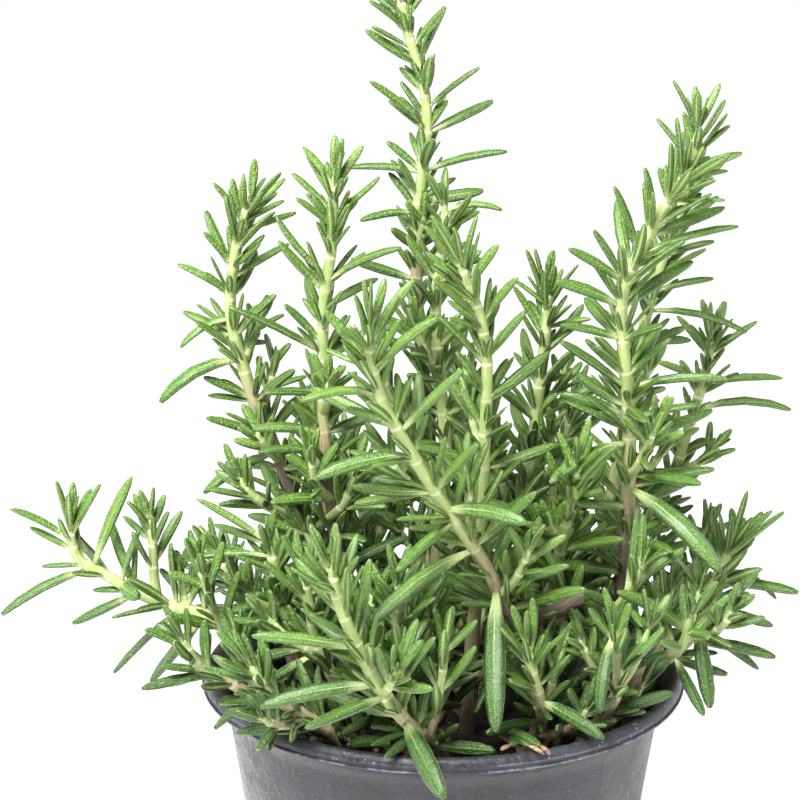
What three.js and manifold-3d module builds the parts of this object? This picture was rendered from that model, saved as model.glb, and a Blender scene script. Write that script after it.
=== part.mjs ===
// A potted rosemary plant: a thin-walled nursery pot, the soil in it, and leafy canes.
// Millimetres, +Z up, origin at the centre of the pot's flat base. The front, where the
// bowed cane and the trailing leaves are, faces -Y.

import * as THREE from 'three';
import { mergeVertices } from 'three/addons/utils/BufferGeometryUtils.js';
import Module from 'manifold-3d';

const wasm = await Module();
wasm.setup();

// ---------------------------------------------------------------- driving dimensions

const POT_HEIGHT = 100;
const RIM_RADIUS = 60;
const BASE_RADIUS = 40.5;
const BODY_TOP = 89;          // height at which the tapered wall ends and the lip begins
const BODY_TOP_RADIUS = 53.5;
const WALL = 1.6;
const FLOOR = 2;
const LIP_BAND = 4;           // height of the lip's upright outer face
const RIM_INNER_RADIUS = 56.6;
const DRAIN_HOLES = 8;
const DRAIN_RADIUS = 3;
const DRAIN_CIRCLE = 27;
const POT_SIDES = 44;

const SOIL_LEVEL = 85;
const SOIL_BUMP = 0.9;
const SOIL_GAP = 0.3;         // between the soil and the pot
const FOOT_DEPTH = 17;        // how deep a cane stands in the soil
const HOLE_GAP = 0.35;        // between a cane's foot and the soil
const HOLE_SIDES = 6;

const CANE_RADIUS = 2.1;      // at the soil, to the corners of the square stem
const CANE_TIP_RADIUS = 1.2;
const SHOOT_RADIUS = 1.2;
const STEM_SIDES = 4;
const STEM_RING_STEP = 19;

const LEAF_THICKNESS = 0.42;  // of the leaf's width
const LEAF_BASE = 0.42;       // of the leaf's width, where it enters the stem
const CANE_SPACING = 8.8;     // between the pairs of leaves on a grown cane
const SHOOT_SPACING = 7.2;
const LEAF_GAP = 0.35;        // kept between the leaves of different canes
const SEAM_TOLERANCE = 0.07;  // slivers thinner than this are closed up where pieces fuse
const SEED = 20477;

// Heights above the soil that the straight foot of a cane passes through.
const FOOT_RISE = [-FOOT_DEPTH, -8, 1.5, 4];
const WAY_SAMPLES = 8;        // per stretch between two points of a stem's way
const SIDEWAYS = [0.6, 0.8, 0];   // a direction that no cane grows along

const SHOOT_STEP = 4;         // a shoot grows by this length at a time
const SHOOT_LENGTHS = [18, 30];
const SHOOT_FEWEST_STEPS = 4;
const SHOOT_OUTWARD = 0.85;   // its first heading: away from the cane, and along it
const SHOOT_ALONG = 0.55;
const SHOOT_SWAY = 0.1;       // its sideways turn and upward turn at each step
const SHOOT_LIFT = 0.24;
const SHOOT_ROOM = 0.9;       // kept free round its tip
const SHOOT_BARE = 3;
const SHOOT_LEAF = 0.85;      // of the length of its cane's leaves
const SHOOT_TAPER = 0.8;
const SHOOTS_UP_TO = 0.62;    // share of a cane's leafy length that carries shoots
const SPRAY_TURN = 1.3;       // twist, in radians, from one of a cane's sprays to the next
const CANE_TURN = 2.4;        // and from one cane to the next

const ENTRY = 0.25;           // how far off the stem's middle a leaf starts, of its radius
const LEAF_ARCH = [-0.2, 0.9];
const LEAF_NARROW = 1.9;      // width of an unopened leaf, and what a grown one adds
const LEAF_GROWTH = 0.9;
const THIN_FROM_PAIR = 7;     // counted from the tip
const LONG_LEAF = 16;         // a leaf past this length gets one more ring
const LEAF_FIRST_LEAN = 14;   // degrees: at the stem's tip, added per pair, and the most
const LEAF_LEAN_STEP = 7;
const LEAF_MOST_LEAN = 76;
const OWN_STRETCH = 3.5;      // of a leaf, where it may lie against its own cane
const OWN_OVERLAP = 0.5;      // beyond it, how deep leaves of one cane may press together
const POT_ROOM = 0.4;         // between a leaf and the pot or the soil

// ---------------------------------------------------------------- the canes
// root: where the cane leaves the soil, [x, y].
// route: points above the soil that the cane passes through.
// bare: length from the soil up that carries no leaves.
// leaf: length of a full-grown leaf. shoots: the most side shoots that it carries.
// standouts: leaves that break the outline, each
//   [x and z where it leaves the cane, x, y and z of its tip, width, rise of its arch].
// sprays: side shoots with a place of their own: length of leaf, points from the cane out.

const canes = {
  cane_back_tall: {
    root: [-2, 21], bare: 52, leaf: 15, shoots: 2,
    route: [[-1.5, 19, 115], [-2.5, 19, 142], [-4.5, 22, 167], [-6.5, 25, 190], [-6.2, 27, 209],
      [-4.2, 28.5, 228], [-4.8, 30, 240], [-8.5, 31, 252], [-11, 32, 263]],
    standouts: [[-9.5, 253, -18, 24, 261.5, 2, 0.4], [-8, 249.5, -17.5, 27, 255, 2, 0.3],
      [-6, 249, -0.5, 27, 259, 2, 0.3], [-3, 234.5, 8.5, 23, 245.5, 2, 0.5],
      [-5, 232, -10.5, 31, 241, 2, 0.3], [-4.5, 230.5, -18, 24, 242, 2, 0.8],
      [-5, 219.5, -14, 29, 226.5, 2, 0.3], [-4.5, 218, 15.5, 23, 225, 2.1, 1.2],
      [-5, 218.5, -23.5, 29, 220, 2, 1], [-5.5, 210, -13.5, 30, 218.5, 2, 0.4],
      [-5, 209, -20.5, 22, 208, 2.1, 1]],
  },
  cane_left_tall: {
    root: [-24, 8], bare: 38, leaf: 16, shoots: 0,
    route: [[-26, 8, 105], [-31, 8, 124], [-36.5, 8, 139], [-40.5, 8, 151], [-46, 8, 164],
      [-50.5, 8, 180], [-52, 8, 190], [-51, 8, 200], [-48.5, 8, 210], [-46.5, 8, 216]],
    standouts: [[-46.5, 212, -39, 4, 223.5, 2.1, 0.4], [-46.5, 211.5, -38.5, 13, 220, 2, 0.4],
      [-49.5, 202, -40.5, 2, 214.5, 2.3, 0.5], [-48, 207, -36, 14, 211.5, 2, 0.4],
      [-53, 193, -64.5, 8, 200, 2, 0.8], [-49, 195.5, -37.5, 8, 205, 2, 0.4],
      [-52.5, 186, -64, 5, 180, 2, 1.6], [-50.5, 178.5, -60, 3, 187, 2.1, 0.4],
      [-50, 175.5, -69, 2, 167, 3.3, 3], [-44.5, 167.5, -58.5, 5, 172.5, 2.3, 0.4],
      [-43.5, 155.5, -58, 4, 162.5, 2.3, 0.6], [-42.5, 152.5, -59, 3, 143.5, 2.7, 1.6]],
    sprays: [
      { leaf: 13, route: [[-44.5, 8, 164.5], [-43.5, 12, 166.5], [-42.5, 14, 169.5], [-42, 15, 173]] },
      { leaf: 12, route: [[-48.5, 8, 177], [-47.5, 12, 179.5], [-46.5, 14, 182], [-45.5, 15, 184]] },
      { leaf: 13, route: [[-40.5, 8, 150.5], [-43, 4, 154.5], [-45, 2, 157.5], [-45.5, 2, 160.5]] },
      { leaf: 15, route: [[-35, 8, 135.5], [-40, 3, 138.5], [-44.5, 0, 142], [-48, -1, 145.5],
        [-50, -1, 149]] },
    ],
  },
  cane_left_inner: {
    root: [-15, -2], bare: 32, leaf: 17, shoots: 2,
    route: [[-18, -2, 103], [-24, -2.5, 119], [-27, -4, 140], [-29, -4, 160], [-29.2, -4, 181],
      [-28.6, -4, 195], [-26.8, -4, 207], [-26.4, -4, 217], [-26, -4, 224]],
    standouts: [[-25, 219, -24, -7, 233, 2.1, 0.4], [-26.5, 220.5, -33.5, -1, 230, 2, 0.4],
      [-27, 214.5, -36, -2, 224, 2, 0.4], [-25, 214.5, -15.5, -7, 224, 2, -0.4],
      [-25.5, 208, -22.5, -9, 218.5, 2.3, 0.4], [-26.5, 207, -27, -12, 220, 2.3, 0.5],
      [-28.5, 199.5, -40, -2, 214, 2, -0.8], [-29.5, 184, -38, -7, 193.5, 2.1, 0.4],
      [-27, 198, -10.5, -11, 208, 2.3, 1.4], [-27.5, 192, -16, 1, 198, 2.1, 0.4],
      [-31, 182, -50.5, -16, 195, 2.6, 0.8], [-30, 171, -42.5, -13, 173.5, 2.6, 0.5],
      [-29.5, 156, -44.5, -12, 158.5, 2.3, 1.6]],
    sprays: [
      { leaf: 14, route: [[-27.5, -5, 144.5], [-30.5, -9, 149], [-31.5, -11, 154], [-32, -12, 158.5]] },
      { leaf: 14, route: [[-28.5, -4, 139], [-24.5, -8, 144], [-22.5, -10, 149], [-21, -11, 154]] },
    ],
  },
  cane_front_bowed: {
    root: [31, -5], bare: 52, leaf: 20, shoots: 4,
    route: [[35, -7, 103], [38, -12, 115], [34, -18, 123.5], [25, -25, 122.5], [18, -29, 121.5],
      [13.5, -32, 128], [8.5, -34.5, 139], [0, -39, 153], [-9, -43, 169], [-15.2, -45, 182],
      [-17.3, -47, 193], [-17, -47.5, 199]],
    standouts: [[-16.5, 193, -20.5, -49, 205.5, 2, 0.4], [-15.5, 193, -14, -44, 205, 2, 0.4],
      [-16.5, 193.5, -17, -52, 209, 2, 0.5], [-14.5, 193.5, -7.5, -45, 208, 2.5, 1.2],
      [-16.5, 183.5, -23, -50, 194.5, 2.5, 0.4], [-14, 186.5, -2.5, -52, 201, 2.5, 1.4],
      [-15, 182, -32.5, -51, 182, 2.5, 1.8], [-4, 176.5, 3, -51, 189, 2.5, 0.4],
      [-10.5, 175.5, -18, -51, 182.5, 2.2, 0.3], [-8, 166, -29.5, -49, 163.5, 3, 1.6],
      [1, 153, 17.5, -52, 154, 3.4, 1.4], [6, 143, -17.5, -52, 129.5, 3.4, 1.8],
      [12, 131, 11, -56, 105.5, 4.6, 1.8]],
  },
  cane_centre: {
    root: [6, -9], bare: 34, leaf: 17, shoots: 2,
    route: [[7, -10, 110], [8.8, -11, 140], [9.4, -12, 159], [9.8, -13, 174], [9.6, -13.5, 183],
      [7.8, -14, 193], [4.7, -14, 201], [3, -14, 206]],
    standouts: [[4, 203.5, -3.5, -18, 217, 2.4, 0.5], [3.5, 202, -5, -15, 214, 2.4, 0.4],
      [5, 203.5, 7, -16, 216.5, 2.5, 0.4], [4, 204, 1.5, -20, 215.5, 2, 0.4],
      [6.5, 199.5, 12, -17, 210, 2.5, 0.4], [6.5, 190.5, -3, -17, 203, 2.5, 0.5],
      [5.5, 195.5, -3.5, -10, 203.5, 2, 0.4], [8.5, 190, 16.5, -16, 202, 2.3, 0.4],
      [9, 179.5, -1.5, -18, 193, 2.3, 0.5], [10.5, 182, 18.5, -16, 194, 2.5, 0.4],
      [9, 174, 2.5, -11, 183, 2, 0.3], [9, 159.5, 1, -18, 168.5, 2, 0.4]],
  },
  cane_centre_back: {
    root: [-4, 7], bare: 45, leaf: 16, shoots: 2,
    route: [[-3, 8, 110], [0, 10, 140], [0.5, 11, 155], [-0.8, 12, 170], [-2, 13, 187],
      [-0.7, 14, 200], [0.5, 14, 209], [-0.3, 14, 214]],
    standouts: [[0, 211.5, 14, 12, 212.5, 2.1, 1.8], [-0.5, 212, -4.5, 10, 222, 2, 0.4]],
  },
  cane_right_tall: {
    root: [38, 5], bare: 30, leaf: 18, shoots: 1,
    route: [[42, 1, 105], [44, -3, 120], [44.6, -5.5, 142], [44.2, -7, 165], [42.2, -8, 185],
      [41.8, -8, 196], [46, -8, 207], [50.5, -8, 216], [54.5, -8, 222], [57.5, -8, 228],
      [58.5, -8, 236]],
    standouts: [[57.5, 235, 52, -11, 247, 2.3, 0.4], [58.5, 234, 57, -11, 245.5, 2, 0.3],
      [59.5, 235, 63.5, -5, 245.5, 2, 0.4], [59, 232, 63, -12, 243.5, 2, 0.4],
      [55.5, 227.5, 49, -6, 237.5, 2, 0.4], [57.5, 224.5, 69, -6, 229.5, 2, 0.8],
      [55.5, 221, 64.5, -12, 231, 3, 0.4], [50, 218.5, 51.5, -14, 233, 2.3, 0.5],
      [51.5, 217, 56, -15, 228, 2.1, 0.4], [48, 214, 46.5, -6, 226, 2.1, 0.4],
      [44.5, 206.5, 39, -11, 222.5, 2, 0.5], [49, 211.5, 61, -15, 221.5, 2.1, 0.5],
      [44, 201.5, 45.5, -16, 215, 2.3, 0.5], [46, 206, 68.5, -8, 212.5, 2, 1],
      [41, 200, 34.5, -10, 212, 2, 0.4], [41.5, 199, 28.5, -12, 208.5, 2.3, 0.5],
      [43.5, 197.5, 54.5, -15, 211.5, 2.5, 0.6], [42.5, 198.5, 40.5, -17, 209.5, 2.6, 0.4],
      [42, 184.5, 27, -13, 190, 2, 0.7], [42, 175.5, 33.5, -5, 184.5, 2, 0.4],
      [42, 173.5, 27, -15, 186.5, 2.6, 0.6], [42.5, 163, 34, -12, 172, 2, 0.4],
      [42.5, 162, 29, -6, 169.5, 2, 0.5], [43, 159, 24.5, -22, 154, 3.2, 1.8],
      [43.5, 172, 67, -12, 176.5, 2, 1.6], [44, 165, 60.5, -11, 170, 2, 0.8],
      [44, 174.5, 51, -6, 187.5, 2, 0.4], [44, 175.5, 53, -12, 186.5, 2.1, 0.4],
      [46, 147, 65, -24, 132.5, 4.3, 3], [45, 147.5, 64.5, -11, 154, 2.6, 0.8],
      [45.5, 148, 51.5, -6, 159, 2.4, 0.4], [44.5, 147, 41, -13, 158, 2.6, 0.4]],
    sprays: [
      { leaf: 14, route: [[44, -7, 168.5], [46.5, -2, 170], [48.5, 0, 172.5], [49.5, 1, 175.5]] },
      { leaf: 15, route: [[44.5, -6, 146.5], [48, 0, 148], [51, 4, 150], [54, 6, 153.5], [55.5, 7, 157]] },
    ],
  },
  cane_right_back: {
    root: [35, 20], bare: 42, leaf: 16, shoots: 1,
    route: [[38, 18, 110], [43, 15.5, 142], [48, 14, 176], [51.2, 13, 192], [54, 13, 202],
      [57.5, 12.5, 213], [60, 12, 221]],
    standouts: [[56, 200, 65.5, 11, 205, 2, 0.6], [53.5, 191.5, 65.5, 10, 196, 2, 0.6],
      [48.5, 175.5, 58, 9, 185, 3, 1], [51, 186.5, 73.5, 6, 183.5, 2.1, 2.2],
      [50, 178.5, 61.5, 18, 178.5, 2, 0.5]],
  },
  cane_right_inner: {
    root: [16, 17], bare: 40, leaf: 16, shoots: 3,
    route: [[18, 18, 110], [22.5, 20, 144], [23.5, 20.5, 158], [25, 21.5, 172], [26, 22, 185],
      [25.6, 22, 192]],
    standouts: [[25.5, 184.5, 20.5, 20, 201, 2, 0.5], [26, 184, 25, 18, 197.5, 2, 0.4],
      [27, 184.5, 27.5, 25, 196.5, 2, 0.4], [25.5, 176.5, 17.5, 24, 191, 2, 0.5],
      [25.5, 167, 19.5, 18, 178, 2, 0.4], [25.5, 185, 33, 19, 198, 2, 0.5],
      [26, 180, 36.5, 18, 184, 2, 0.6]],
  },
  cane_right_outer: {
    root: [32, 31], bare: 45, leaf: 15, shoots: 1,
    route: [[36, 32, 103], [49, 33, 120], [59, 33, 137], [64, 33, 153], [67, 33.5, 164],
      [68.3, 34, 171], [68.5, 35, 177]],
    standouts: [[68, 166.5, 68, 32, 185, 2, 0.6], [67.5, 170.5, 60, 36, 180.5, 2, 0.4],
      [68.5, 170, 80.5, 36, 179, 2, 0.5], [68.5, 168, 73.5, 38, 182.5, 2, 0.5],
      [67, 164.5, 55, 36, 168.5, 2, 0.4], [68, 162, 87, 32, 165, 2, 1.2],
      [66, 155.5, 89, 29, 157.5, 2.6, 2.6], [58.5, 143.5, 68.5, 37, 147.5, 2.3, 0.3]],
  },
  cane_right_drooping: {
    root: [41, -15], bare: 24, leaf: 16, shoots: 2,
    route: [[46, -16, 103], [55, -17, 109], [60.5, -18, 116], [61, -18, 126]],
    standouts: [[60, 125.5, 55, -23, 135.5, 2.2, 0.3], [61.5, 117, 63, -25, 100.5, 4.4, 0.6],
      [61.5, 110.5, 79, -24, 111, 3.3, 0.8], [63, 115.5, 76, -18, 105.5, 2.2, 0.8],
      [59.5, 114.5, 40.5, -28, 129, 3.5, 1.4], [55.5, 111, 44.5, -25, 108.5, 2.6, 0.8]],
  },
  cane_left_trailing: {
    root: [-31, -16], bare: 26, leaf: 18, shoots: 2,
    route: [[-37, -15.5, 99], [-44.5, -15, 105], [-51.5, -13, 111.5], [-57, -11.5, 116.5],
      [-65, -10, 118.5], [-74, -9, 121.5], [-83, -8, 126.5], [-88.5, -8, 130],
      [-90.5, -8, 135], [-90.4, -8, 140]],
    standouts: [[-91.5, 134.5, -104.5, -11, 144, 2, 0.8], [-90.5, 132, -100.5, -7, 138, 2, 0.3],
      [-90.5, 137, -93.5, -8, 150, 2, 0.4], [-90, 136.5, -89.5, -11, 149.5, 2, 0.4],
      [-89.5, 136, -85.5, -6, 147.5, 2, 0.4], [-88.5, 136, -82.5, -12, 150.5, 2.1, 0.5],
      [-84, 131, -75, -11, 152, 2.8, 0.6], [-85.5, 127, -107, -15, 118.5, 3, 1.6],
      [-77.5, 127, -73.5, -12, 139, 2, 0.4], [-78.5, 124.5, -73.5, -17, 123.5, 3.7, 0.8],
      [-66.5, 118, -80, -12, 118.5, 2, 0.6], [-64.5, 121.5, -66, -12, 135.5, 2.5, 0.4],
      [-62.5, 121.5, -56.5, -12, 130.5, 2.1, 0.3], [-64, 116.5, -80.5, -14, 103, 2, 0.8]],
    sprays: [
      { leaf: 12, route: [[-63, -11, 118], [-63.5, -8, 120], [-64, -7, 123], [-64.5, -7, 126.5]] },
    ],
  },
  cane_front_low: {
    root: [0, -37], bare: 10, leaf: 19, shoots: 3,
    route: [[-3, -44, 97], [-9, -52, 106], [-12.7, -56, 112.5], [-16, -58, 118.5],
      [-19.5, -59, 126], [-22, -60, 132], [-24.8, -60, 140], [-25.9, -60, 147]],
    standouts: [[-9, 107, -1, -75, 98, 4.4, 2.0], [-15.5, 117.5, -42, -62, 114, 3.2, 1.4],
      [-20, 127, -43.5, -62, 131, 2.8, 1.0]],
  },
  cane_left_low: {
    root: [-31, -3], bare: 20, leaf: 16, shoots: 2,
    route: [[-34, -6, 102], [-38.5, -10, 116], [-40.6, -13, 127], [-42, -14, 136]],
    standouts: [[-44, 132, -62, -14, 132, 2.2, 1.6], [-45, 140, -56, -5, 138, 2.2, 0.6],
      [-47, 142, -59.5, -11, 146.5, 2, 0.4]],
  },
  cane_front_right_low: {
    root: [21, -27], bare: 8, leaf: 19, shoots: 2,
    route: [[22.5, -33, 98], [22.5, -39, 104], [20, -42, 114], [18.4, -43, 122]],
    standouts: [[22, 106, 35.5, -55, 103.5, 3.4, 1.6]],
  },
  cane_right_front_low: {
    root: [33, -25], bare: 10, leaf: 17, shoots: 2,
    route: [[37, -31, 98], [40, -35, 106], [40, -37, 116], [38.5, -38, 124]],
    standouts: [[39.5, 122, 35, -48.5, 107, 3.6, 2.0]],
  },
  cane_front_middle: {
    root: [-8, -23], bare: 14, leaf: 18, shoots: 3,
    route: [[-9.5, -30, 101], [-11, -38, 117], [-11.2, -40, 127], [-11, -42, 136]],
    standouts: [],
  },
  cane_front_left: {
    root: [-20, -24], bare: 14, leaf: 18, shoots: 3,
    route: [[-24, -27, 101], [-30, -29, 116], [-32, -31, 127], [-33, -32, 135]],
    standouts: [[-29, 114, -53.5, -47, 102.5, 3.0, 2.0]],
  },
  cane_front_left_rim: {
    root: [-21, -36], bare: 8, leaf: 18, shoots: 2,
    route: [[-26, -41, 98], [-33, -45, 105], [-40, -48, 111], [-45, -49, 119]],
    standouts: [],
  },
  cane_left_rim: {
    root: [-38, -22], bare: 8, leaf: 17, shoots: 2,
    route: [[-44, -24.5, 99], [-51, -27.5, 106], [-58, -30, 111], [-62, -32, 119]],
    standouts: [[-49, 111, -63.5, -34, 108, 2, 1.6]],
  },
  cane_middle_right: {
    root: [23, 4], bare: 34, leaf: 18, shoots: 3,
    route: [[25, 1, 110], [28, -7, 130], [30, -14, 147], [31, -18, 158]],
    standouts: [[29, 143, 38.5, -38, 168, 3.4, 1.2]],
  },
  cane_back_left: {
    root: [-20, 23], bare: 24, leaf: 18, shoots: 2,
    route: [[-24, 27, 112], [-30, 31, 138], [-33, 34, 156]],
    standouts: [],
  },
  cane_back_middle: {
    root: [8, 36], bare: 22, leaf: 18, shoots: 2,
    route: [[9, 41, 112], [8, 46, 140], [6, 49, 161]],
    standouts: [],
  },
  cane_back_right: {
    root: [21, 33], bare: 24, leaf: 18, shoots: 2,
    route: [[25, 40, 112], [31, 47, 138], [35, 51, 154]],
    standouts: [],
  },
  cane_back_low: {
    root: [-11, 37], bare: 14, leaf: 18, shoots: 2,
    route: [[-15, 45, 106], [-21, 52, 124], [-25, 56, 140]],
    standouts: [],
  },
  cane_left_back_low: {
    root: [-37, 18], bare: 14, leaf: 17, shoots: 2,
    route: [[-42, 21, 101], [-49, 25, 107], [-55, 28, 113], [-58, 29, 119]],
    standouts: [],
  },
  cane_right_back_low: {
    root: [43, 12], bare: 14, leaf: 17, shoots: 1,
    route: [[49, 13, 102], [58, 14, 109], [69, 15, 117], [74, 16, 127]],
    standouts: [[73.5, 121.5, 84.5, 9, 137.5, 2.4, 0.6], [74, 122, 83, 15, 135, 2.2, 0.5],
      [74.5, 125.5, 76.5, 14, 140.5, 2, 0.5], [74.5, 124.5, 77, 8, 135.5, 2, 0.4],
      [73, 122, 72, 9, 135.5, 2, 0.4], [69.5, 114, 89, 6, 116.5, 3.3, 1.2],
      [68, 111, 80, 8, 122, 2.6, 1], [71.5, 118, 85, 15, 111.5, 2, 2]],
    sprays: [
      { leaf: 14, route: [[58.5, 8, 112.5], [63, 16, 116.5], [66, 22, 122], [68, 25, 128]] },
    ],
  },
};

// ---------------------------------------------------------------- small helpers

let randomState = SEED;

/** The next number from 0 to 1 of a seeded sequence. */
function random() {
  randomState = (randomState * 16807) % 2147483647;
  return randomState / 2147483647;
}

/** A seeded number between two limits. */
const between = (low, high) => low + (high - low) * random();

const radians = THREE.MathUtils.degToRad;

const at = (xyz) => new THREE.Vector3(...xyz);

/** A closed mesh geometry as a solid that can be joined and cut. */
function toSolid(geometry) {
  const bare = geometry.clone();
  bare.deleteAttribute('normal');
  bare.deleteAttribute('uv');
  const merged = mergeVertices(bare);
  return new wasm.Manifold(new wasm.Mesh({
    numProp: 3,
    vertProperties: new Float32Array(merged.attributes.position.array),
    triVerts: new Uint32Array(merged.index.array),
  }));
}

/** The outer skin of a solid as a mesh geometry, without loose scraps or sealed bubbles. */
function toGeometry(solid) {
  const whole = solid.decompose().sort((a, b) => b.volume() - a.volume())[0];
  const mesh = whole.getMesh();
  const geometry = new THREE.BufferGeometry();
  geometry.setAttribute('position', new THREE.BufferAttribute(mesh.vertProperties, 3));
  geometry.setIndex(new THREE.BufferAttribute(mesh.triVerts, 1));
  geometry.computeVertexNormals();
  return geometry;
}

/** A smooth way through points, which can be asked for places by length along it. */
class Way {
  constructor(points, turn) {
    const curve = new THREE.CatmullRomCurve3(points, false, 'catmullrom', 0.5);
    const steps = (points.length - 1) * WAY_SAMPLES;
    this.places = [];
    this.lengths = [0];
    for (let i = 0; i <= steps; i++) {
      this.places.push(curve.getPoint(i / steps));
      if (i === 0) continue;
      this.lengths.push(this.lengths[i - 1] + this.places[i].distanceTo(this.places[i - 1]));
    }
    this.length = this.lengths[steps];
    const chord = this.places[steps].clone().sub(this.places[0]).normalize();
    const side = chord.clone().cross(at(SIDEWAYS)).normalize();
    this.across = side.clone().multiplyScalar(Math.cos(turn))
      .addScaledVector(chord.cross(side), Math.sin(turn));
  }

  /** Place, direction and two crosswise directions at a length along the way. */
  frame(length) {
    const wanted = Math.min(Math.max(length, 0), this.length);
    let i = 1;
    while (i < this.lengths.length - 1 && this.lengths[i] < wanted) i++;
    const span = this.lengths[i] - this.lengths[i - 1];
    const part = span > 0 ? (wanted - this.lengths[i - 1]) / span : 0;
    const place = this.places[i - 1].clone().lerp(this.places[i], part);
    const axis = this.places[i].clone().sub(this.places[i - 1]).normalize();
    const u = this.across.clone().addScaledVector(axis, -this.across.dot(axis)).normalize();
    const v = axis.clone().cross(u);
    return { place, axis, u, v };
  }

  /** The length along the way at which it passes nearest to an x and a z. */
  nearest(x, z) {
    let best = 0;
    let bestGap = Infinity;
    this.places.forEach((place, i) => {
      const gap = Math.hypot(place.x - x, place.z - z);
      if (gap < bestGap) {
        bestGap = gap;
        best = this.lengths[i];
      }
    });
    return best;
  }
}

// ---------------------------------------------------------------- clearance
// Every stem and leaf is followed by a string of beads. A new leaf or shoot is only kept
// where its beads are clear of those of the other canes, of the pot and of the soil.

const BEAD_CELL = 5;
const BEAD_STEP = 2;
const STEM_ROOM = 0.1;
const LEAF_ROOM = 0.05;
const beadCells = new Map();

const cellKey = (i, j, k) => (i + 500) * 1000000 + (j + 500) * 1000 + (k + 500);

function addBead(place, radius, owner) {
  const key = cellKey(...place.toArray().map((value) => Math.floor(value / BEAD_CELL)));
  if (!beadCells.has(key)) beadCells.set(key, []);
  beadCells.get(key).push({ place: place.clone(), radius, owner });
}

/** Whether a bead is clear of other canes by a gap, and of its own cane's leaves. */
function beadIsClear(place, radius, owner, ownGap) {
  const [i, j, k] = place.toArray().map((value) => Math.floor(value / BEAD_CELL));
  for (let a = i - 1; a <= i + 1; a++) {
    for (let b = j - 1; b <= j + 1; b++) {
      for (let c = k - 1; c <= k + 1; c++) {
        for (const bead of beadCells.get(cellKey(a, b, c)) ?? []) {
          const gap = bead.owner === owner ? ownGap : LEAF_GAP;
          if (gap === null) continue;
          const least = bead.radius + radius + gap;
          if (bead.place.distanceToSquared(place) < least * least) return false;
        }
      }
    }
  }
  return true;
}

const bodyRadius = (z) => BASE_RADIUS + ((BODY_TOP_RADIUS - BASE_RADIUS) * z) / BODY_TOP;

/** The radius of the space inside the pot at a height. */
function innerRadius(z) {
  const wallInside = bodyRadius(Math.min(z, BODY_TOP)) - WALL;
  if (z <= BODY_TOP) return wallInside;
  return wallInside + ((RIM_INNER_RADIUS - wallInside) * (z - BODY_TOP)) / (POT_HEIGHT - BODY_TOP);
}

/** Whether a bead is clear of the pot and of the soil. */
function potIsClear(place, radius) {
  const room = radius + POT_ROOM;
  const reach = Math.hypot(place.x, place.y);
  if (place.z >= POT_HEIGHT + room || reach >= RIM_RADIUS + room) return true;
  return reach <= innerRadius(place.z) - room && place.z >= SOIL_LEVEL + SOIL_BUMP + room;
}

// ---------------------------------------------------------------- stems

/** The way of a cane: straight up out of the soil, then along its route. */
function caneWay({ root: [x, y], route }, turn) {
  const foot = FOOT_RISE.map((rise) => [x, y, SOIL_LEVEL + rise]);
  return new Way([...foot, ...route].map(at), turn);
}

/** Follows a stem with beads. */
function beadStem(stem, start) {
  for (let length = start; length <= stem.way.length; length += BEAD_STEP) {
    addBead(stem.way.frame(length).place, stemRadius(stem, length) + STEM_ROOM, stem.owner);
  }
}

const stemRadius = (stem, length) =>
  stem.radius + ((stem.tipRadius - stem.radius) * length) / stem.way.length;

/** The lengths at which the solid of a stem has its rings: straight at first, then curved. */
function ringLengths(stem) {
  const straight = stem.isCane ? FOOT_DEPTH + 3 : 0.4 * stem.way.length;
  const curved = stem.way.length - straight;
  const count = Math.max(1, Math.round(curved / STEM_RING_STEP));
  return [0, ...Array.from({ length: count + 1 }, (_, i) => straight + (curved * i) / count)];
}

/** The middle of a ring of a stem's solid. The first one of a shoot lies in its cane. */
const ringMiddle = (stem, length) =>
  (length === 0 && stem.foot ? stem.foot.clone() : stem.way.frame(length).place);

/** The middle of a stem's solid at a length, on the straight between two of its rings. */
function solidMiddle(stem, length) {
  const lengths = ringLengths(stem);
  const next = Math.max(1, lengths.findIndex((end) => end >= length));
  const share = (length - lengths[next - 1]) / (lengths[next] - lengths[next - 1]);
  return ringMiddle(stem, lengths[next - 1]).lerp(ringMiddle(stem, lengths[next]), share);
}

/** The direction away from a stem at an azimuth round it. */
const radialAt = (u, v, azimuth) =>
  u.clone().multiplyScalar(Math.cos(azimuth)).addScaledVector(v, Math.sin(azimuth));

/** Grows a side shoot outwards from a cane and then up, round what is in its way. */
function growShoot(cane, length, azimuth, wanted) {
  const { place, axis, u, v } = cane.way.frame(length);
  const radial = radialAt(u, v, azimuth);
  const heading = radial.clone().multiplyScalar(SHOOT_OUTWARD)
    .addScaledVector(axis, SHOOT_ALONG).normalize();
  let tip = place.clone().addScaledVector(radial, 0.4 * CANE_RADIUS);
  const points = [tip];
  const room = SHOOT_RADIUS + SHOOT_ROOM;
  while (points.length * SHOOT_STEP <= wanted) {
    const swayX = between(-SHOOT_SWAY, SHOOT_SWAY);
    const swayY = between(-SHOOT_SWAY, SHOOT_SWAY);
    heading.add(at([swayX, swayY, SHOOT_LIFT])).normalize();
    const next = tip.clone().addScaledVector(heading, SHOOT_STEP);
    const beyond = next.clone().addScaledVector(heading, 0.5 * SHOOT_STEP);
    const away = points.length > 1 ? 0.5 : null;
    const clear = [next, beyond].every((bead) => beadIsClear(bead, room, cane.owner, away)
      && potIsClear(bead, room));
    if (!clear) break;
    tip = next;
    points.push(tip);
  }
  if (points.length < SHOOT_FEWEST_STEPS) return null;
  return shootAlong(cane, length, points, between(0, 3), SHOOT_LEAF * cane.leaf);
}

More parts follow.
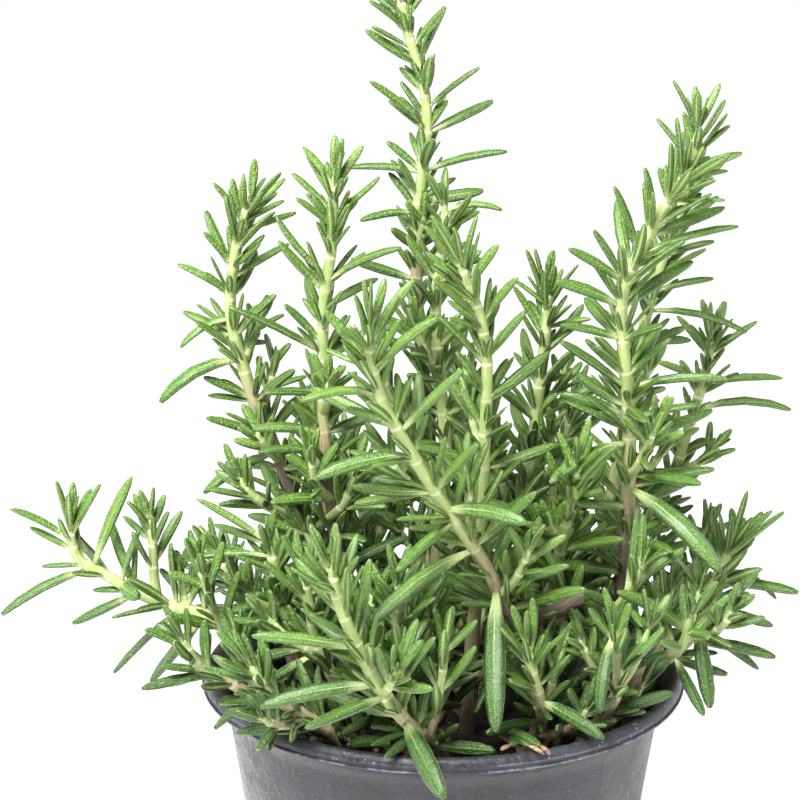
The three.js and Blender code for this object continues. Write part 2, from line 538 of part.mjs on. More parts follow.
/** A shoot through points, which leaves the middle of its cane's solid at a length. */
function shootAlong(cane, length, points, turn, leaf) {
  return {
    owner: cane.owner,
    foot: solidMiddle(cane, length),
    way: new Way(points, turn),
    radius: SHOOT_RADIUS,
    tipRadius: SHOOT_TAPER * SHOOT_RADIUS,
    bare: SHOOT_BARE,
    leaf,
    spacing: SHOOT_SPACING,
    taken: [],
  };
}

// ---------------------------------------------------------------- leaves

/** The middle line of a leaf: from its base to its tip, with an arch. */
const leafLine = (leaf, t) => leaf.base.clone().lerp(leaf.tip, t)
  .addScaledVector(leaf.arch, 4 * t * (1 - t));

/** The share of its full width that a leaf has at a share of its length. */
function leafWidthAt(t) {
  const opening = Math.min(1, 0.62 + 2 * t);
  const closing = Math.max(0, (t - 0.72) / 0.28);
  return opening * (1 - 0.75 * closing ** 2);
}

/** The beads that follow a leaf, past the stretch that lies against its own stem. */
function leafBeads(leaf) {
  const length = leaf.base.distanceTo(leaf.tip);
  const count = Math.ceil(length / BEAD_STEP);
  const beads = [];
  for (let i = 1; i <= count; i++) {
    const t = i / count;
    const radius = 0.5 * leaf.width * leafWidthAt(t) + LEAF_ROOM;
    beads.push({ place: leafLine(leaf, t), radius, along: t * length });
  }
  return beads;
}

/** Keeps a leaf if it is clear of everything else. */
function keepLeaf(leaf) {
  const beads = leafBeads(leaf);
  const clear = beads.every(({ place, radius, along }) =>
    beadIsClear(place, radius, leaf.owner, along > OWN_STRETCH ? -OWN_OVERLAP : null)
      && potIsClear(place, radius));
  if (!clear) return false;
  beads.forEach(({ place, radius }) => addBead(place, radius, leaf.owner));
  leaves.push(leaf);
  return true;
}

/** A leaf that leaves its stem at a length and an azimuth, and leans away from it. */
function leafFrom(stem, { length, azimuth, lean, reach, width, rise, solid }) {
  const { place, axis, u, v } = stem.way.frame(length);
  const radial = radialAt(u, v, azimuth);
  const radius = stemRadius(stem, length);
  const heading = axis.clone().multiplyScalar(Math.cos(lean)).addScaledVector(radial, Math.sin(lean));
  const base = place.clone().addScaledVector(radial, ENTRY * radius);
  const tip = base.clone().addScaledVector(heading, reach + radius);
  const up = axis.clone().addScaledVector(heading, -axis.dot(heading)).normalize();
  const arch = up.clone().multiplyScalar(rise);
  const foot = solidMiddle(stem, length);
  return { owner: stem.owner, foot, base, tip, width, up, arch, rings: 2, solid };
}

/** A leaf from a stem to a tip at a given place. */
function leafTo(stem, length, tip, width, rise) {
  const { place, axis } = stem.way.frame(length);
  const heading = tip.clone().sub(place).normalize();
  const up = axis.clone().addScaledVector(heading, -axis.dot(heading)).normalize();
  const base = place.clone().addScaledVector(heading, ENTRY * stemRadius(stem, length));
  const arch = up.clone().multiplyScalar(rise);
  const foot = solidMiddle(stem, length);
  const rings = base.distanceTo(tip) > LONG_LEAF ? 3 : 2;
  return { owner: stem.owner, foot, base, tip, width, up, arch, rings, solid: true };
}

// Ways round an obstacle: turn and lean in radians, and a share of the leaf's length.
const DETOURS = [[0, 0, 1], [0.3, 0, 1], [-0.3, 0, 1], [0, -0.22, 1], [0, 0.25, 0.95],
  [0.5, -0.15, 0.9], [-0.5, -0.15, 0.9], [0, -0.1, 0.72], [0.35, 0.2, 0.72],
  [-0.35, 0.2, 0.72], [0, -0.35, 0.6]];
// The same for a leaf whose tip is given: steps to the front or to the back.
const NUDGES = [0, -2.5, 2.5, -5, 5];

function placeLeaf(stem, leaf) {
  return DETOURS.some(([turn, lean, share]) => keepLeaf(leafFrom(stem, {
    ...leaf, azimuth: leaf.azimuth + turn, lean: leaf.lean + lean, reach: leaf.reach * share,
  })));
}

/** The leaves that break the outline, nudged in depth where one is blocked. */
function placeStandouts(stem) {
  for (const [baseX, baseZ, x, y, z, width, rise] of stem.standouts) {
    const length = stem.way.nearest(baseX, baseZ);
    NUDGES.some((nudge) =>
      keepLeaf(leafTo(stem, length, at([x, y + nudge, z]), width, rise)));
    const { place, u, v } = stem.way.frame(length);
    const outward = at([x, y, z]).sub(place);
    stem.taken.push({ length, azimuth: Math.atan2(outward.dot(v), outward.dot(u)) });
  }
}

/** The pairs of a stem from its tip down, each a quarter turn from the last. */
function leafPairs(stem) {
  const pairs = [];
  let length = stem.way.length - 0.6;
  let azimuth = Math.PI / 4;
  for (let k = 0; length > stem.bare; k++) {
    pairs.push({ length, azimuth, k });
    length -= Math.min(stem.spacing, 2.6 + 1.3 * k) * between(0.9, 1.1);
    azimuth += Math.PI / 2;
  }
  return pairs;
}

/**
 * Places both leaves of a pair. The solids carry the first leaf of each pair, which wind
 * round the stem by quarter turns, and both leaves of the pair at a cane's tip. Low down,
 * only every second pair has one. The other leaves only keep their places.
 */
function placePair(stem, { length, azimuth, k }) {
  for (const turn of [0, Math.PI]) {
    const mine = azimuth + turn + between(-0.12, 0.12);
    const grown = Math.min(1, 0.5 + 0.1 * k);
    const leaf = {
      length: length + between(-0.5, 0.5),
      azimuth: mine,
      lean: radians(Math.min(LEAF_MOST_LEAN, LEAF_FIRST_LEAN + LEAF_LEAN_STEP * k) + between(-7, 7)),
      reach: stem.leaf * grown * between(0.85, 1.12),
      width: (LEAF_NARROW + LEAF_GROWTH * grown) * between(0.92, 1.06),
      rise: between(...LEAF_ARCH) * grown,
    };
    const doubled = stem.taken.some((other) => Math.abs(other.length - length) < 3.5
      && Math.cos(other.azimuth - mine) > 0.5);
    const isSolid = turn === 0 ? k < THIN_FROM_PAIR || k % 2 === 0 : k === 0 && stem.isCane;
    if (!doubled) placeLeaf(stem, { ...leaf, solid: isSolid });
  }
}

// ---------------------------------------------------------------- solids

/** Bends an upright cylinder along a line, with the section that a function gives. */
function sweep(sides, segments, pointed, section) {
  const geometry = new THREE.CylinderGeometry(pointed ? 0 : 1, 1, 1, sides, segments);
  const position = geometry.attributes.position;
  const corner = new THREE.Vector3();
  for (let i = 0; i < position.count; i++) {
    corner.fromBufferAttribute(position, i);
    const t = corner.y + 0.5;
    const shrink = pointed ? 1 / Math.max(1 - t, 1e-9) : 1;
    const { centre, right, back } = section(t);
    const isTip = pointed && t > 1 - 1e-6;
    const x = isTip ? 0 : corner.x * shrink;
    const z = isTip ? 0 : corner.z * shrink;
    corner.copy(centre).addScaledVector(right, x).addScaledVector(back, z);
    position.setXYZ(i, ...corner.toArray());
  }
  return geometry;
}

/** A stem: a tapered tube along its way. A shoot's starts in the middle of its cane's. */
function stemGeometry(stem) {
  const lengths = ringLengths(stem);
  const segments = lengths.length - 1;
  return sweep(STEM_SIDES, segments, false, (t) => {
    const length = lengths[Math.round(t * segments)];
    const { axis, u } = stem.way.frame(length);
    const radius = stemRadius(stem, length);
    const right = axis.clone().cross(u).multiplyScalar(radius);
    return { centre: ringMiddle(stem, length), right, back: u.clone().multiplyScalar(radius) };
  });
}

const WIDEST = Math.sqrt(3);   // width of a three-cornered section of radius 1

/** A leaf: a three-cornered needle, flat on top, with a keel below, out of its stem's middle. */
function leafGeometry(leaf) {
  return sweep(3, leaf.rings, true, (t) => {
    const ahead = Math.min(1, t + 0.01);
    const heading = leafLine(leaf, ahead).sub(leafLine(leaf, ahead - 0.02)).normalize();
    const up = leaf.up.clone().addScaledVector(heading, -leaf.up.dot(heading)).normalize();
    const scale = t === 0 ? LEAF_BASE : 1;
    const right = heading.clone().cross(up).multiplyScalar((-scale * leaf.width) / WIDEST);
    return {
      centre: t === 0 ? leaf.foot : leafLine(leaf, t),
      right,
      back: up.clone().multiplyScalar(-scale * leaf.width * LEAF_THICKNESS / 1.5),
    };
  });
}

/** The pot: lathed wall and lip, with drain holes through its floor. */
function potGeometry() {
  const lipBottom = POT_HEIGHT - LIP_BAND;
  const profile = [
    [0, 0],
    [BASE_RADIUS - 1.2, 0],
    [BASE_RADIUS, 1.2],
    [BODY_TOP_RADIUS, BODY_TOP],
    [BODY_TOP_RADIUS + 0.9, BODY_TOP + 3.4],
    [BODY_TOP_RADIUS + 3.2, lipBottom - 0.9],
    [RIM_RADIUS - 0.6, lipBottom - 0.4],
    [RIM_RADIUS, lipBottom + 0.3],
    [RIM_RADIUS, POT_HEIGHT - 1],
    [RIM_RADIUS - 0.7, POT_HEIGHT - 0.2],
    [RIM_RADIUS - 1.7, POT_HEIGHT],
    [RIM_INNER_RADIUS, POT_HEIGHT - 0.6],
    [BODY_TOP_RADIUS + 0.6, POT_HEIGHT - 3.8],
    [BODY_TOP_RADIUS - WALL + 0.4, BODY_TOP + 3.2],
    [BODY_TOP_RADIUS - WALL, BODY_TOP - 0.4],
    [bodyRadius(FLOOR) - WALL, FLOOR],
    [0, FLOOR],
  ];
  const lathe = new THREE.LatheGeometry(profile.map(([r, z]) => new THREE.Vector2(r, z)), POT_SIDES);
  let pot = toSolid(lathe.rotateX(Math.PI / 2));
  for (let i = 0; i < DRAIN_HOLES; i++) {
    const angle = (2 * Math.PI * i) / DRAIN_HOLES;
    const drill = new THREE.CylinderGeometry(DRAIN_RADIUS, DRAIN_RADIUS, 3 * FLOOR, 12);
    drill.rotateX(Math.PI / 2);
    drill.translate(DRAIN_CIRCLE * Math.cos(angle), DRAIN_CIRCLE * Math.sin(angle), FLOOR / 2);
    pot = pot.subtract(toSolid(drill));
  }
  return toGeometry(pot);
}

/** How far the soil's surface stands above or below its level. */
const soilBump = (x, y) => SOIL_BUMP
  * (0.5 * Math.sin(0.21 * x + 1.3) * Math.cos(0.17 * y) + 0.35 * Math.sin(0.4 * y + 0.23 * x));

/** The soil: it fills the pot, with a bumpy top and a plain hole for each cane. */
function soilGeometry() {
  const bottom = FLOOR + SOIL_GAP;
  const topRadius = bodyRadius(SOIL_LEVEL) - WALL - SOIL_GAP;
  const profile = [
    [0, bottom],
    [bodyRadius(bottom) - WALL - SOIL_GAP, bottom],
    [topRadius, SOIL_LEVEL - 1],
    [topRadius - 2, SOIL_LEVEL],
    [topRadius * 0.68, SOIL_LEVEL],
    [topRadius * 0.34, SOIL_LEVEL],
    [0, SOIL_LEVEL],
  ];
  const lathe = new THREE.LatheGeometry(profile.map(([r, z]) => new THREE.Vector2(r, z)), POT_SIDES / 2);
  lathe.rotateX(Math.PI / 2);
  const position = lathe.attributes.position;
  for (let i = 0; i < position.count; i++) {
    if (position.getZ(i) > SOIL_LEVEL - 0.5) {
      position.setZ(i, SOIL_LEVEL + soilBump(position.getX(i), position.getY(i)));
    }
  }
  let soil = toSolid(lathe);
  const holeRadius = (CANE_RADIUS + HOLE_GAP) / Math.cos(Math.PI / HOLE_SIDES);
  const depth = FOOT_DEPTH + HOLE_GAP;
  for (const { root: [x, y] } of Object.values(canes)) {
    const drill = new THREE.CylinderGeometry(holeRadius, holeRadius, depth + 5, HOLE_SIDES);
    drill.rotateX(Math.PI / 2);
    drill.translate(x, y, SOIL_LEVEL - depth + (depth + 5) / 2);
    soil = soil.subtract(toSolid(drill));
  }
  return toGeometry(soil);
}

// ---------------------------------------------------------------- growing the plant

const leaves = [];
const stems = Object.entries(canes).map(([owner, cane], i) => ({
  ...cane, owner, way: caneWay(cane, CANE_TURN * i), radius: CANE_RADIUS, tipRadius: CANE_TIP_RADIUS,
  spacing: CANE_SPACING, bare: cane.bare + FOOT_DEPTH, taken: [], isCane: true,
}));
const sprays = stems.flatMap((cane) => (cane.sprays ?? []).map(({ leaf, route }, i) => {
  const [x, , z] = route[0];
  return shootAlong(cane, cane.way.nearest(x, z), route.map(at), SPRAY_TURN * i, leaf);
}));
stems.forEach((stem) => beadStem(stem, 0));
sprays.forEach((spray) => beadStem(spray, SHOOT_STEP));
stems.forEach(placeStandouts);

const shoots = [...sprays];
for (const cane of stems) {
  const top = cane.bare + SHOOTS_UP_TO * (cane.way.length - cane.bare);
  for (let i = 0; i < cane.shoots; i++) {
    const share = (i + 0.5) / cane.shoots;
    const length = cane.bare + (top - cane.bare) * share + between(-3, 3);
    for (const turn of [0, Math.PI / 2, Math.PI, 1.5 * Math.PI]) {
      const azimuth = Math.PI / 4 + i * Math.PI / 2 + turn;
      const wanted = between(...SHOOT_LENGTHS) * (1.1 - 0.5 * share);
      const shoot = growShoot(cane, length, azimuth, wanted);
      if (shoot) {
        beadStem(shoot, SHOOT_STEP);
        shoots.push(shoot);
        break;
      }
    }
  }
}

const allStems = [...stems, ...shoots];
const pairs = allStems.flatMap((stem) => leafPairs(stem).map((pair) => ({ stem, pair })));
pairs.sort((a, b) => a.pair.k - b.pair.k);
pairs.forEach(({ stem, pair }) => placePair(stem, pair));

// ---------------------------------------------------------------- the group

const plastic = new THREE.MeshStandardMaterial({ color: 0x2a2b2d, roughness: 0.55, metalness: 0 });
const peat = new THREE.MeshStandardMaterial({ color: 0x2b1e15, roughness: 0.95, metalness: 0 });

const plant = new THREE.Group();

function addPart(name, geometry, material) {
  const mesh = new THREE.Mesh(geometry, material);
  mesh.name = name;
  plant.add(mesh);
}

addPart('pot', potGeometry(), plastic);
addPart('soil', soilGeometry(), peat);
for (const owner of Object.keys(canes)) {
  const pieces = [
    ...allStems.filter((stem) => stem.owner === owner).map(stemGeometry),
    ...leaves.filter((leaf) => leaf.owner === owner && leaf.solid).map(leafGeometry),
  ];
  const fused = wasm.Manifold.union(pieces.map(toSolid)).asOriginal().simplify(SEAM_TOLERANCE);
  const green = new THREE.MeshStandardMaterial({ color: 0x5e8040, roughness: 0.6, metalness: 0 });
  addPart(owner, toGeometry(fused), green);
}

export default plant;
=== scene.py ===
"""A potted rosemary: the looks of the pot, the soil, the canes and every leaf.

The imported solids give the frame: their pot, soil and canes stay where they are, and each
piece made here stands for one of them. The plant grows by the same rules as its solids, in
millimetres, and is turned to metres as its meshes are made.
"""

import functools
import math
from collections import defaultdict
from dataclasses import dataclass, field

import bmesh
import bpy
from mathutils import Matrix, Vector, noise


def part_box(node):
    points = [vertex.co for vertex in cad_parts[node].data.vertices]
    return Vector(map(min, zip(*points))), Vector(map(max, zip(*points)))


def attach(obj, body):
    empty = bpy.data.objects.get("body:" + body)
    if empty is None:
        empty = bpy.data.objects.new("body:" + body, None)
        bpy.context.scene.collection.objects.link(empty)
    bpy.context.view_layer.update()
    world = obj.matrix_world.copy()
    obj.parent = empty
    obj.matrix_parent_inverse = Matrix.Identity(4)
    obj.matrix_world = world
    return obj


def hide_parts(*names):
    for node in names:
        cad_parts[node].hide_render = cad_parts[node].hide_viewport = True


bl_info = {
    "name": "Potted Rosemary",
    "version": (1, 0, 0),
    "blender": (4, 5, 0),
    "location": "View3D > Sidebar > Rosemary",
    "description": "Grows a rosemary plant in its nursery pot round the packed solids",
    "category": "Add Mesh",
}

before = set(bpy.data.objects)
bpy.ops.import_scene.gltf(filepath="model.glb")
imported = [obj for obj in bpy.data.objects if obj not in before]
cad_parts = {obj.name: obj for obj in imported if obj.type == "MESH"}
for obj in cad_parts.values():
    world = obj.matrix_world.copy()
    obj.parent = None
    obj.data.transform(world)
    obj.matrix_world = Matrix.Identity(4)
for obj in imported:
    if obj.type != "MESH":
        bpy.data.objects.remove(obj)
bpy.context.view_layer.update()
POT_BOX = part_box("pot")

BODY = "root"
MM = 0.001

# ---------------------------------------------------------------- sizes of the plant
# Millimetres, as grown. The solids of the canes follow the same sizes and rules.

POT_HEIGHT = POT_BOX[1].z / MM
RIM_RADIUS = POT_BOX[1].x / MM
BASE_RADIUS = 40.5
BODY_TOP = 89          # height at which the tapered wall ends and the lip begins
BODY_TOP_RADIUS = 53.5
WALL = 1.6
RIM_INNER_RADIUS = 56.6
SOIL_LEVEL = 85
SOIL_BUMP = 0.9
FOOT_RISE = (-17, -8, 1.5, 4)   # heights above the soil of a cane's straight foot
FOOT_DEPTH = 17

CANE_RADIUS = 2.1
CANE_TIP_RADIUS = 1.2
SHOOT_RADIUS = 1.2
CANE_SPACING = 8.8     # between the pairs of leaves on a grown cane
SHOOT_SPACING = 7.2
LEAF_GAP = 0.35        # kept between the leaves of different canes
SEED = 20477
FINE_SEED = 7717       # of the small leaves, crumbs and fibres

WAY_SAMPLES = 8        # per stretch between two points of a stem's way
SIDEWAYS = (0.6, 0.8, 0)   # a direction that no cane grows along
UPWARD = (0, 0, 1)
AXIS_REACH = 0.8       # a way's direction is measured this far to both sides

SHOOT_STEP = 4         # a shoot grows by this length at a time
SHOOT_LENGTHS = (18, 30)
SHOOT_FEWEST_STEPS = 4
SHOOT_SHIFT = 3        # up or down, from its even place along the cane
SHOOT_LOWEST = 1.1     # shares of the length drawn: of the lowest shoot, and less with height
SHOOT_LESS = 0.5
SHOOT_ENTRY = 0.4
SHOOT_OWN_GAP = 0.5
SHOOT_OUTWARD = 0.85
SHOOT_ALONG = 0.55
SHOOT_SWAY = 0.1
SHOOT_LIFT = 0.24
SHOOT_ROOM = 0.9
SHOOT_BARE = 3
SHOOT_LEAF = 0.85
SHOOT_TAPER = 0.8
SHOOTS_UP_TO = 0.62
SPRAY_TURN = 1.3       # twist, in radians, from one of a cane's sprays to the next
CANE_TURN = 2.4        # and from one cane to the next

ENTRY = 0.25           # how far off the stem's middle a leaf starts, of its radius
LEAF_ARCH = (-0.2, 0.9)
LEAF_NARROW = 1.9
LEAF_GROWTH = 0.9
LEAF_FOOT = 0.62       # share of its full width at its foot
LEAF_CLOSES = 0.72     # share of its length from which it narrows
LEAF_POINT = 0.75      # share of its width that is gone at its point
LEAF_FIRST_SHARE = 0.5   # of its full length, in the pair at the tip
LEAF_SHARE_STEP = 0.1
LEAF_FIRST_LEAN = 14
LEAF_LEAN_STEP = 7
LEAF_MOST_LEAN = 76
FIRST_PAIR = 0.6       # from the tip
TIP_SPACING = 2.6
SPACING_GROWTH = 1.3   # from each pair to the next
SPACING_DRAWS = (0.9, 1.1)
REACH_DRAWS = (0.85, 1.12)
WIDTH_DRAWS = (0.92, 1.06)
GROWN_FROM_PAIR = 9
GROWN_FROM_TIP = 45
TAKEN_LENGTH = 3.5     # a leaf of the outline takes the place of one as near as this
TAKEN_FACING = 0.5     # and that faces the same way, by the cosine between them
OWN_STRETCH = 3.5
OWN_OVERLAP = 0.5
POT_ROOM = 0.4
BEAD_CELL = 5
BEAD_STEP = 2
STEM_ROOM = 0.1
LEAF_ROOM = 0.05

# ---------------------------------------------------------------- the canes
# root: where the cane leaves the soil. route: points above the soil that it passes through.
# bare: length from the soil up that carries no leaves. leaf: length of a full-grown leaf.
# shoots: the most side shoots that it carries. sprays: side shoots with a place of
# their own, each with the length of its leaves and the points it passes through.
# standouts: leaves that break the outline, each [x and z where it leaves the cane, x, y and z
# of its tip, width, rise of its arch]. A cane with no sprays or standouts leaves them out.

CANES = {
    "cane_back_tall": {
        "root": [-2, 21], "bare": 52, "leaf": 15, "shoots": 2,
        "route": [[-1.5, 19, 115], [-2.5, 19, 142], [-4.5, 22, 167], [-6.5, 25, 190], [-6.2, 27, 209],
          [-4.2, 28.5, 228], [-4.8, 30, 240], [-8.5, 31, 252], [-11, 32, 263]],
        "standouts": [[-9.5, 253, -18, 24, 261.5, 2, 0.4], [-8, 249.5, -17.5, 27, 255, 2, 0.3],
          [-6, 249, -0.5, 27, 259, 2, 0.3], [-3, 234.5, 8.5, 23, 245.5, 2, 0.5],
          [-5, 232, -10.5, 31, 241, 2, 0.3], [-4.5, 230.5, -18, 24, 242, 2, 0.8],
          [-5, 219.5, -14, 29, 226.5, 2, 0.3], [-4.5, 218, 15.5, 23, 225, 2.1, 1.2],
          [-5, 218.5, -23.5, 29, 220, 2, 1], [-5.5, 210, -13.5, 30, 218.5, 2, 0.4],
          [-5, 209, -20.5, 22, 208, 2.1, 1]],
    },
    "cane_left_tall": {
        "root": [-24, 8], "bare": 38, "leaf": 16, "shoots": 0,
        "route": [[-26, 8, 105], [-31, 8, 124], [-36.5, 8, 139], [-40.5, 8, 151], [-46, 8, 164],
          [-50.5, 8, 180], [-52, 8, 190], [-51, 8, 200], [-48.5, 8, 210], [-46.5, 8, 216]],
        "standouts": [[-46.5, 212, -39, 4, 223.5, 2.1, 0.4], [-46.5, 211.5, -38.5, 13, 220, 2, 0.4],
          [-49.5, 202, -40.5, 2, 214.5, 2.3, 0.5], [-48, 207, -36, 14, 211.5, 2, 0.4],
          [-53, 193, -64.5, 8, 200, 2, 0.8], [-49, 195.5, -37.5, 8, 205, 2, 0.4],
          [-52.5, 186, -64, 5, 180, 2, 1.6], [-50.5, 178.5, -60, 3, 187, 2.1, 0.4],
          [-50, 175.5, -69, 2, 167, 3.3, 3], [-44.5, 167.5, -58.5, 5, 172.5, 2.3, 0.4],
          [-43.5, 155.5, -58, 4, 162.5, 2.3, 0.6], [-42.5, 152.5, -59, 3, 143.5, 2.7, 1.6]],
        "sprays": [
            (13, [[-44.5, 8, 164.5], [-43.5, 12, 166.5], [-42.5, 14, 169.5], [-42, 15, 173]]),
            (12, [[-48.5, 8, 177], [-47.5, 12, 179.5], [-46.5, 14, 182], [-45.5, 15, 184]]),
            (13, [[-40.5, 8, 150.5], [-43, 4, 154.5], [-45, 2, 157.5], [-45.5, 2, 160.5]]),
            (15, [[-35, 8, 135.5], [-40, 3, 138.5], [-44.5, 0, 142], [-48, -1, 145.5],
                  [-50, -1, 149]]),
        ],
    },
    "cane_left_inner": {
        "root": [-15, -2], "bare": 32, "leaf": 17, "shoots": 2,
        "route": [[-18, -2, 103], [-24, -2.5, 119], [-27, -4, 140], [-29, -4, 160], [-29.2, -4, 181],
          [-28.6, -4, 195], [-26.8, -4, 207], [-26.4, -4, 217], [-26, -4, 224]],
        "standouts": [[-25, 219, -24, -7, 233, 2.1, 0.4], [-26.5, 220.5, -33.5, -1, 230, 2, 0.4],
          [-27, 214.5, -36, -2, 224, 2, 0.4], [-25, 214.5, -15.5, -7, 224, 2, -0.4],
          [-25.5, 208, -22.5, -9, 218.5, 2.3, 0.4], [-26.5, 207, -27, -12, 220, 2.3, 0.5],
          [-28.5, 199.5, -40, -2, 214, 2, -0.8], [-29.5, 184, -38, -7, 193.5, 2.1, 0.4],
          [-27, 198, -10.5, -11, 208, 2.3, 1.4], [-27.5, 192, -16, 1, 198, 2.1, 0.4],
          [-31, 182, -50.5, -16, 195, 2.6, 0.8], [-30, 171, -42.5, -13, 173.5, 2.6, 0.5],
          [-29.5, 156, -44.5, -12, 158.5, 2.3, 1.6]],
        "sprays": [
            (14, [[-27.5, -5, 144.5], [-30.5, -9, 149], [-31.5, -11, 154], [-32, -12, 158.5]]),
            (14, [[-28.5, -4, 139], [-24.5, -8, 144], [-22.5, -10, 149], [-21, -11, 154]]),
        ],
    },
    "cane_front_bowed": {
        "root": [31, -5], "bare": 52, "leaf": 20, "shoots": 4,
        "route": [[35, -7, 103], [38, -12, 115], [34, -18, 123.5], [25, -25, 122.5], [18, -29, 121.5],
          [13.5, -32, 128], [8.5, -34.5, 139], [0, -39, 153], [-9, -43, 169], [-15.2, -45, 182],
          [-17.3, -47, 193], [-17, -47.5, 199]],
        "standouts": [[-16.5, 193, -20.5, -49, 205.5, 2, 0.4], [-15.5, 193, -14, -44, 205, 2, 0.4],
          [-16.5, 193.5, -17, -52, 209, 2, 0.5], [-14.5, 193.5, -7.5, -45, 208, 2.5, 1.2],
          [-16.5, 183.5, -23, -50, 194.5, 2.5, 0.4], [-14, 186.5, -2.5, -52, 201, 2.5, 1.4],
          [-15, 182, -32.5, -51, 182, 2.5, 1.8], [-4, 176.5, 3, -51, 189, 2.5, 0.4],
          [-10.5, 175.5, -18, -51, 182.5, 2.2, 0.3], [-8, 166, -29.5, -49, 163.5, 3, 1.6],
          [1, 153, 17.5, -52, 154, 3.4, 1.4], [6, 143, -17.5, -52, 129.5, 3.4, 1.8],
          [12, 131, 11, -56, 105.5, 4.6, 1.8]],
    },
    "cane_centre": {
        "root": [6, -9], "bare": 34, "leaf": 17, "shoots": 2,
        "route": [[7, -10, 110], [8.8, -11, 140], [9.4, -12, 159], [9.8, -13, 174], [9.6, -13.5, 183],
          [7.8, -14, 193], [4.7, -14, 201], [3, -14, 206]],
        "standouts": [[4, 203.5, -3.5, -18, 217, 2.4, 0.5], [3.5, 202, -5, -15, 214, 2.4, 0.4],
          [5, 203.5, 7, -16, 216.5, 2.5, 0.4], [4, 204, 1.5, -20, 215.5, 2, 0.4],
          [6.5, 199.5, 12, -17, 210, 2.5, 0.4], [6.5, 190.5, -3, -17, 203, 2.5, 0.5],
          [5.5, 195.5, -3.5, -10, 203.5, 2, 0.4], [8.5, 190, 16.5, -16, 202, 2.3, 0.4],
          [9, 179.5, -1.5, -18, 193, 2.3, 0.5], [10.5, 182, 18.5, -16, 194, 2.5, 0.4],
          [9, 174, 2.5, -11, 183, 2, 0.3], [9, 159.5, 1, -18, 168.5, 2, 0.4]],
    },
    "cane_centre_back": {
        "root": [-4, 7], "bare": 45, "leaf": 16, "shoots": 2,
        "route": [[-3, 8, 110], [0, 10, 140], [0.5, 11, 155], [-0.8, 12, 170], [-2, 13, 187],
          [-0.7, 14, 200], [0.5, 14, 209], [-0.3, 14, 214]],
        "standouts": [[0, 211.5, 14, 12, 212.5, 2.1, 1.8], [-0.5, 212, -4.5, 10, 222, 2, 0.4]],
    },
    "cane_right_tall": {
        "root": [38, 5], "bare": 30, "leaf": 18, "shoots": 1,
        "route": [[42, 1, 105], [44, -3, 120], [44.6, -5.5, 142], [44.2, -7, 165], [42.2, -8, 185],
          [41.8, -8, 196], [46, -8, 207], [50.5, -8, 216], [54.5, -8, 222], [57.5, -8, 228],
          [58.5, -8, 236]],
        "standouts": [[57.5, 235, 52, -11, 247, 2.3, 0.4], [58.5, 234, 57, -11, 245.5, 2, 0.3],
          [59.5, 235, 63.5, -5, 245.5, 2, 0.4], [59, 232, 63, -12, 243.5, 2, 0.4],
          [55.5, 227.5, 49, -6, 237.5, 2, 0.4], [57.5, 224.5, 69, -6, 229.5, 2, 0.8],
          [55.5, 221, 64.5, -12, 231, 3, 0.4], [50, 218.5, 51.5, -14, 233, 2.3, 0.5],
          [51.5, 217, 56, -15, 228, 2.1, 0.4], [48, 214, 46.5, -6, 226, 2.1, 0.4],
          [44.5, 206.5, 39, -11, 222.5, 2, 0.5], [49, 211.5, 61, -15, 221.5, 2.1, 0.5],
          [44, 201.5, 45.5, -16, 215, 2.3, 0.5], [46, 206, 68.5, -8, 212.5, 2, 1],
          [41, 200, 34.5, -10, 212, 2, 0.4], [41.5, 199, 28.5, -12, 208.5, 2.3, 0.5],
          [43.5, 197.5, 54.5, -15, 211.5, 2.5, 0.6], [42.5, 198.5, 40.5, -17, 209.5, 2.6, 0.4],
          [42, 184.5, 27, -13, 190, 2, 0.7], [42, 175.5, 33.5, -5, 184.5, 2, 0.4],
          [42, 173.5, 27, -15, 186.5, 2.6, 0.6], [42.5, 163, 34, -12, 172, 2, 0.4],
          [42.5, 162, 29, -6, 169.5, 2, 0.5], [43, 159, 24.5, -22, 154, 3.2, 1.8],
          [43.5, 172, 67, -12, 176.5, 2, 1.6], [44, 165, 60.5, -11, 170, 2, 0.8],
          [44, 174.5, 51, -6, 187.5, 2, 0.4], [44, 175.5, 53, -12, 186.5, 2.1, 0.4],
          [46, 147, 65, -24, 132.5, 4.3, 3], [45, 147.5, 64.5, -11, 154, 2.6, 0.8],
          [45.5, 148, 51.5, -6, 159, 2.4, 0.4], [44.5, 147, 41, -13, 158, 2.6, 0.4]],
        "sprays": [
            (14, [[44, -7, 168.5], [46.5, -2, 170], [48.5, 0, 172.5], [49.5, 1, 175.5]]),
            (15, [[44.5, -6, 146.5], [48, 0, 148], [51, 4, 150], [54, 6, 153.5], [55.5, 7, 157]]),
        ],
    },
    "cane_right_back": {
        "root": [35, 20], "bare": 42, "leaf": 16, "shoots": 1,
        "route": [[38, 18, 110], [43, 15.5, 142], [48, 14, 176], [51.2, 13, 192], [54, 13, 202],
          [57.5, 12.5, 213], [60, 12, 221]],
        "standouts": [[56, 200, 65.5, 11, 205, 2, 0.6], [53.5, 191.5, 65.5, 10, 196, 2, 0.6],
          [48.5, 175.5, 58, 9, 185, 3, 1], [51, 186.5, 73.5, 6, 183.5, 2.1, 2.2],
          [50, 178.5, 61.5, 18, 178.5, 2, 0.5]],
    },
    "cane_right_inner": {
        "root": [16, 17], "bare": 40, "leaf": 16, "shoots": 3,
        "route": [[18, 18, 110], [22.5, 20, 144], [23.5, 20.5, 158], [25, 21.5, 172], [26, 22, 185],
          [25.6, 22, 192]],
        "standouts": [[25.5, 184.5, 20.5, 20, 201, 2, 0.5], [26, 184, 25, 18, 197.5, 2, 0.4],
          [27, 184.5, 27.5, 25, 196.5, 2, 0.4], [25.5, 176.5, 17.5, 24, 191, 2, 0.5],
          [25.5, 167, 19.5, 18, 178, 2, 0.4], [25.5, 185, 33, 19, 198, 2, 0.5],
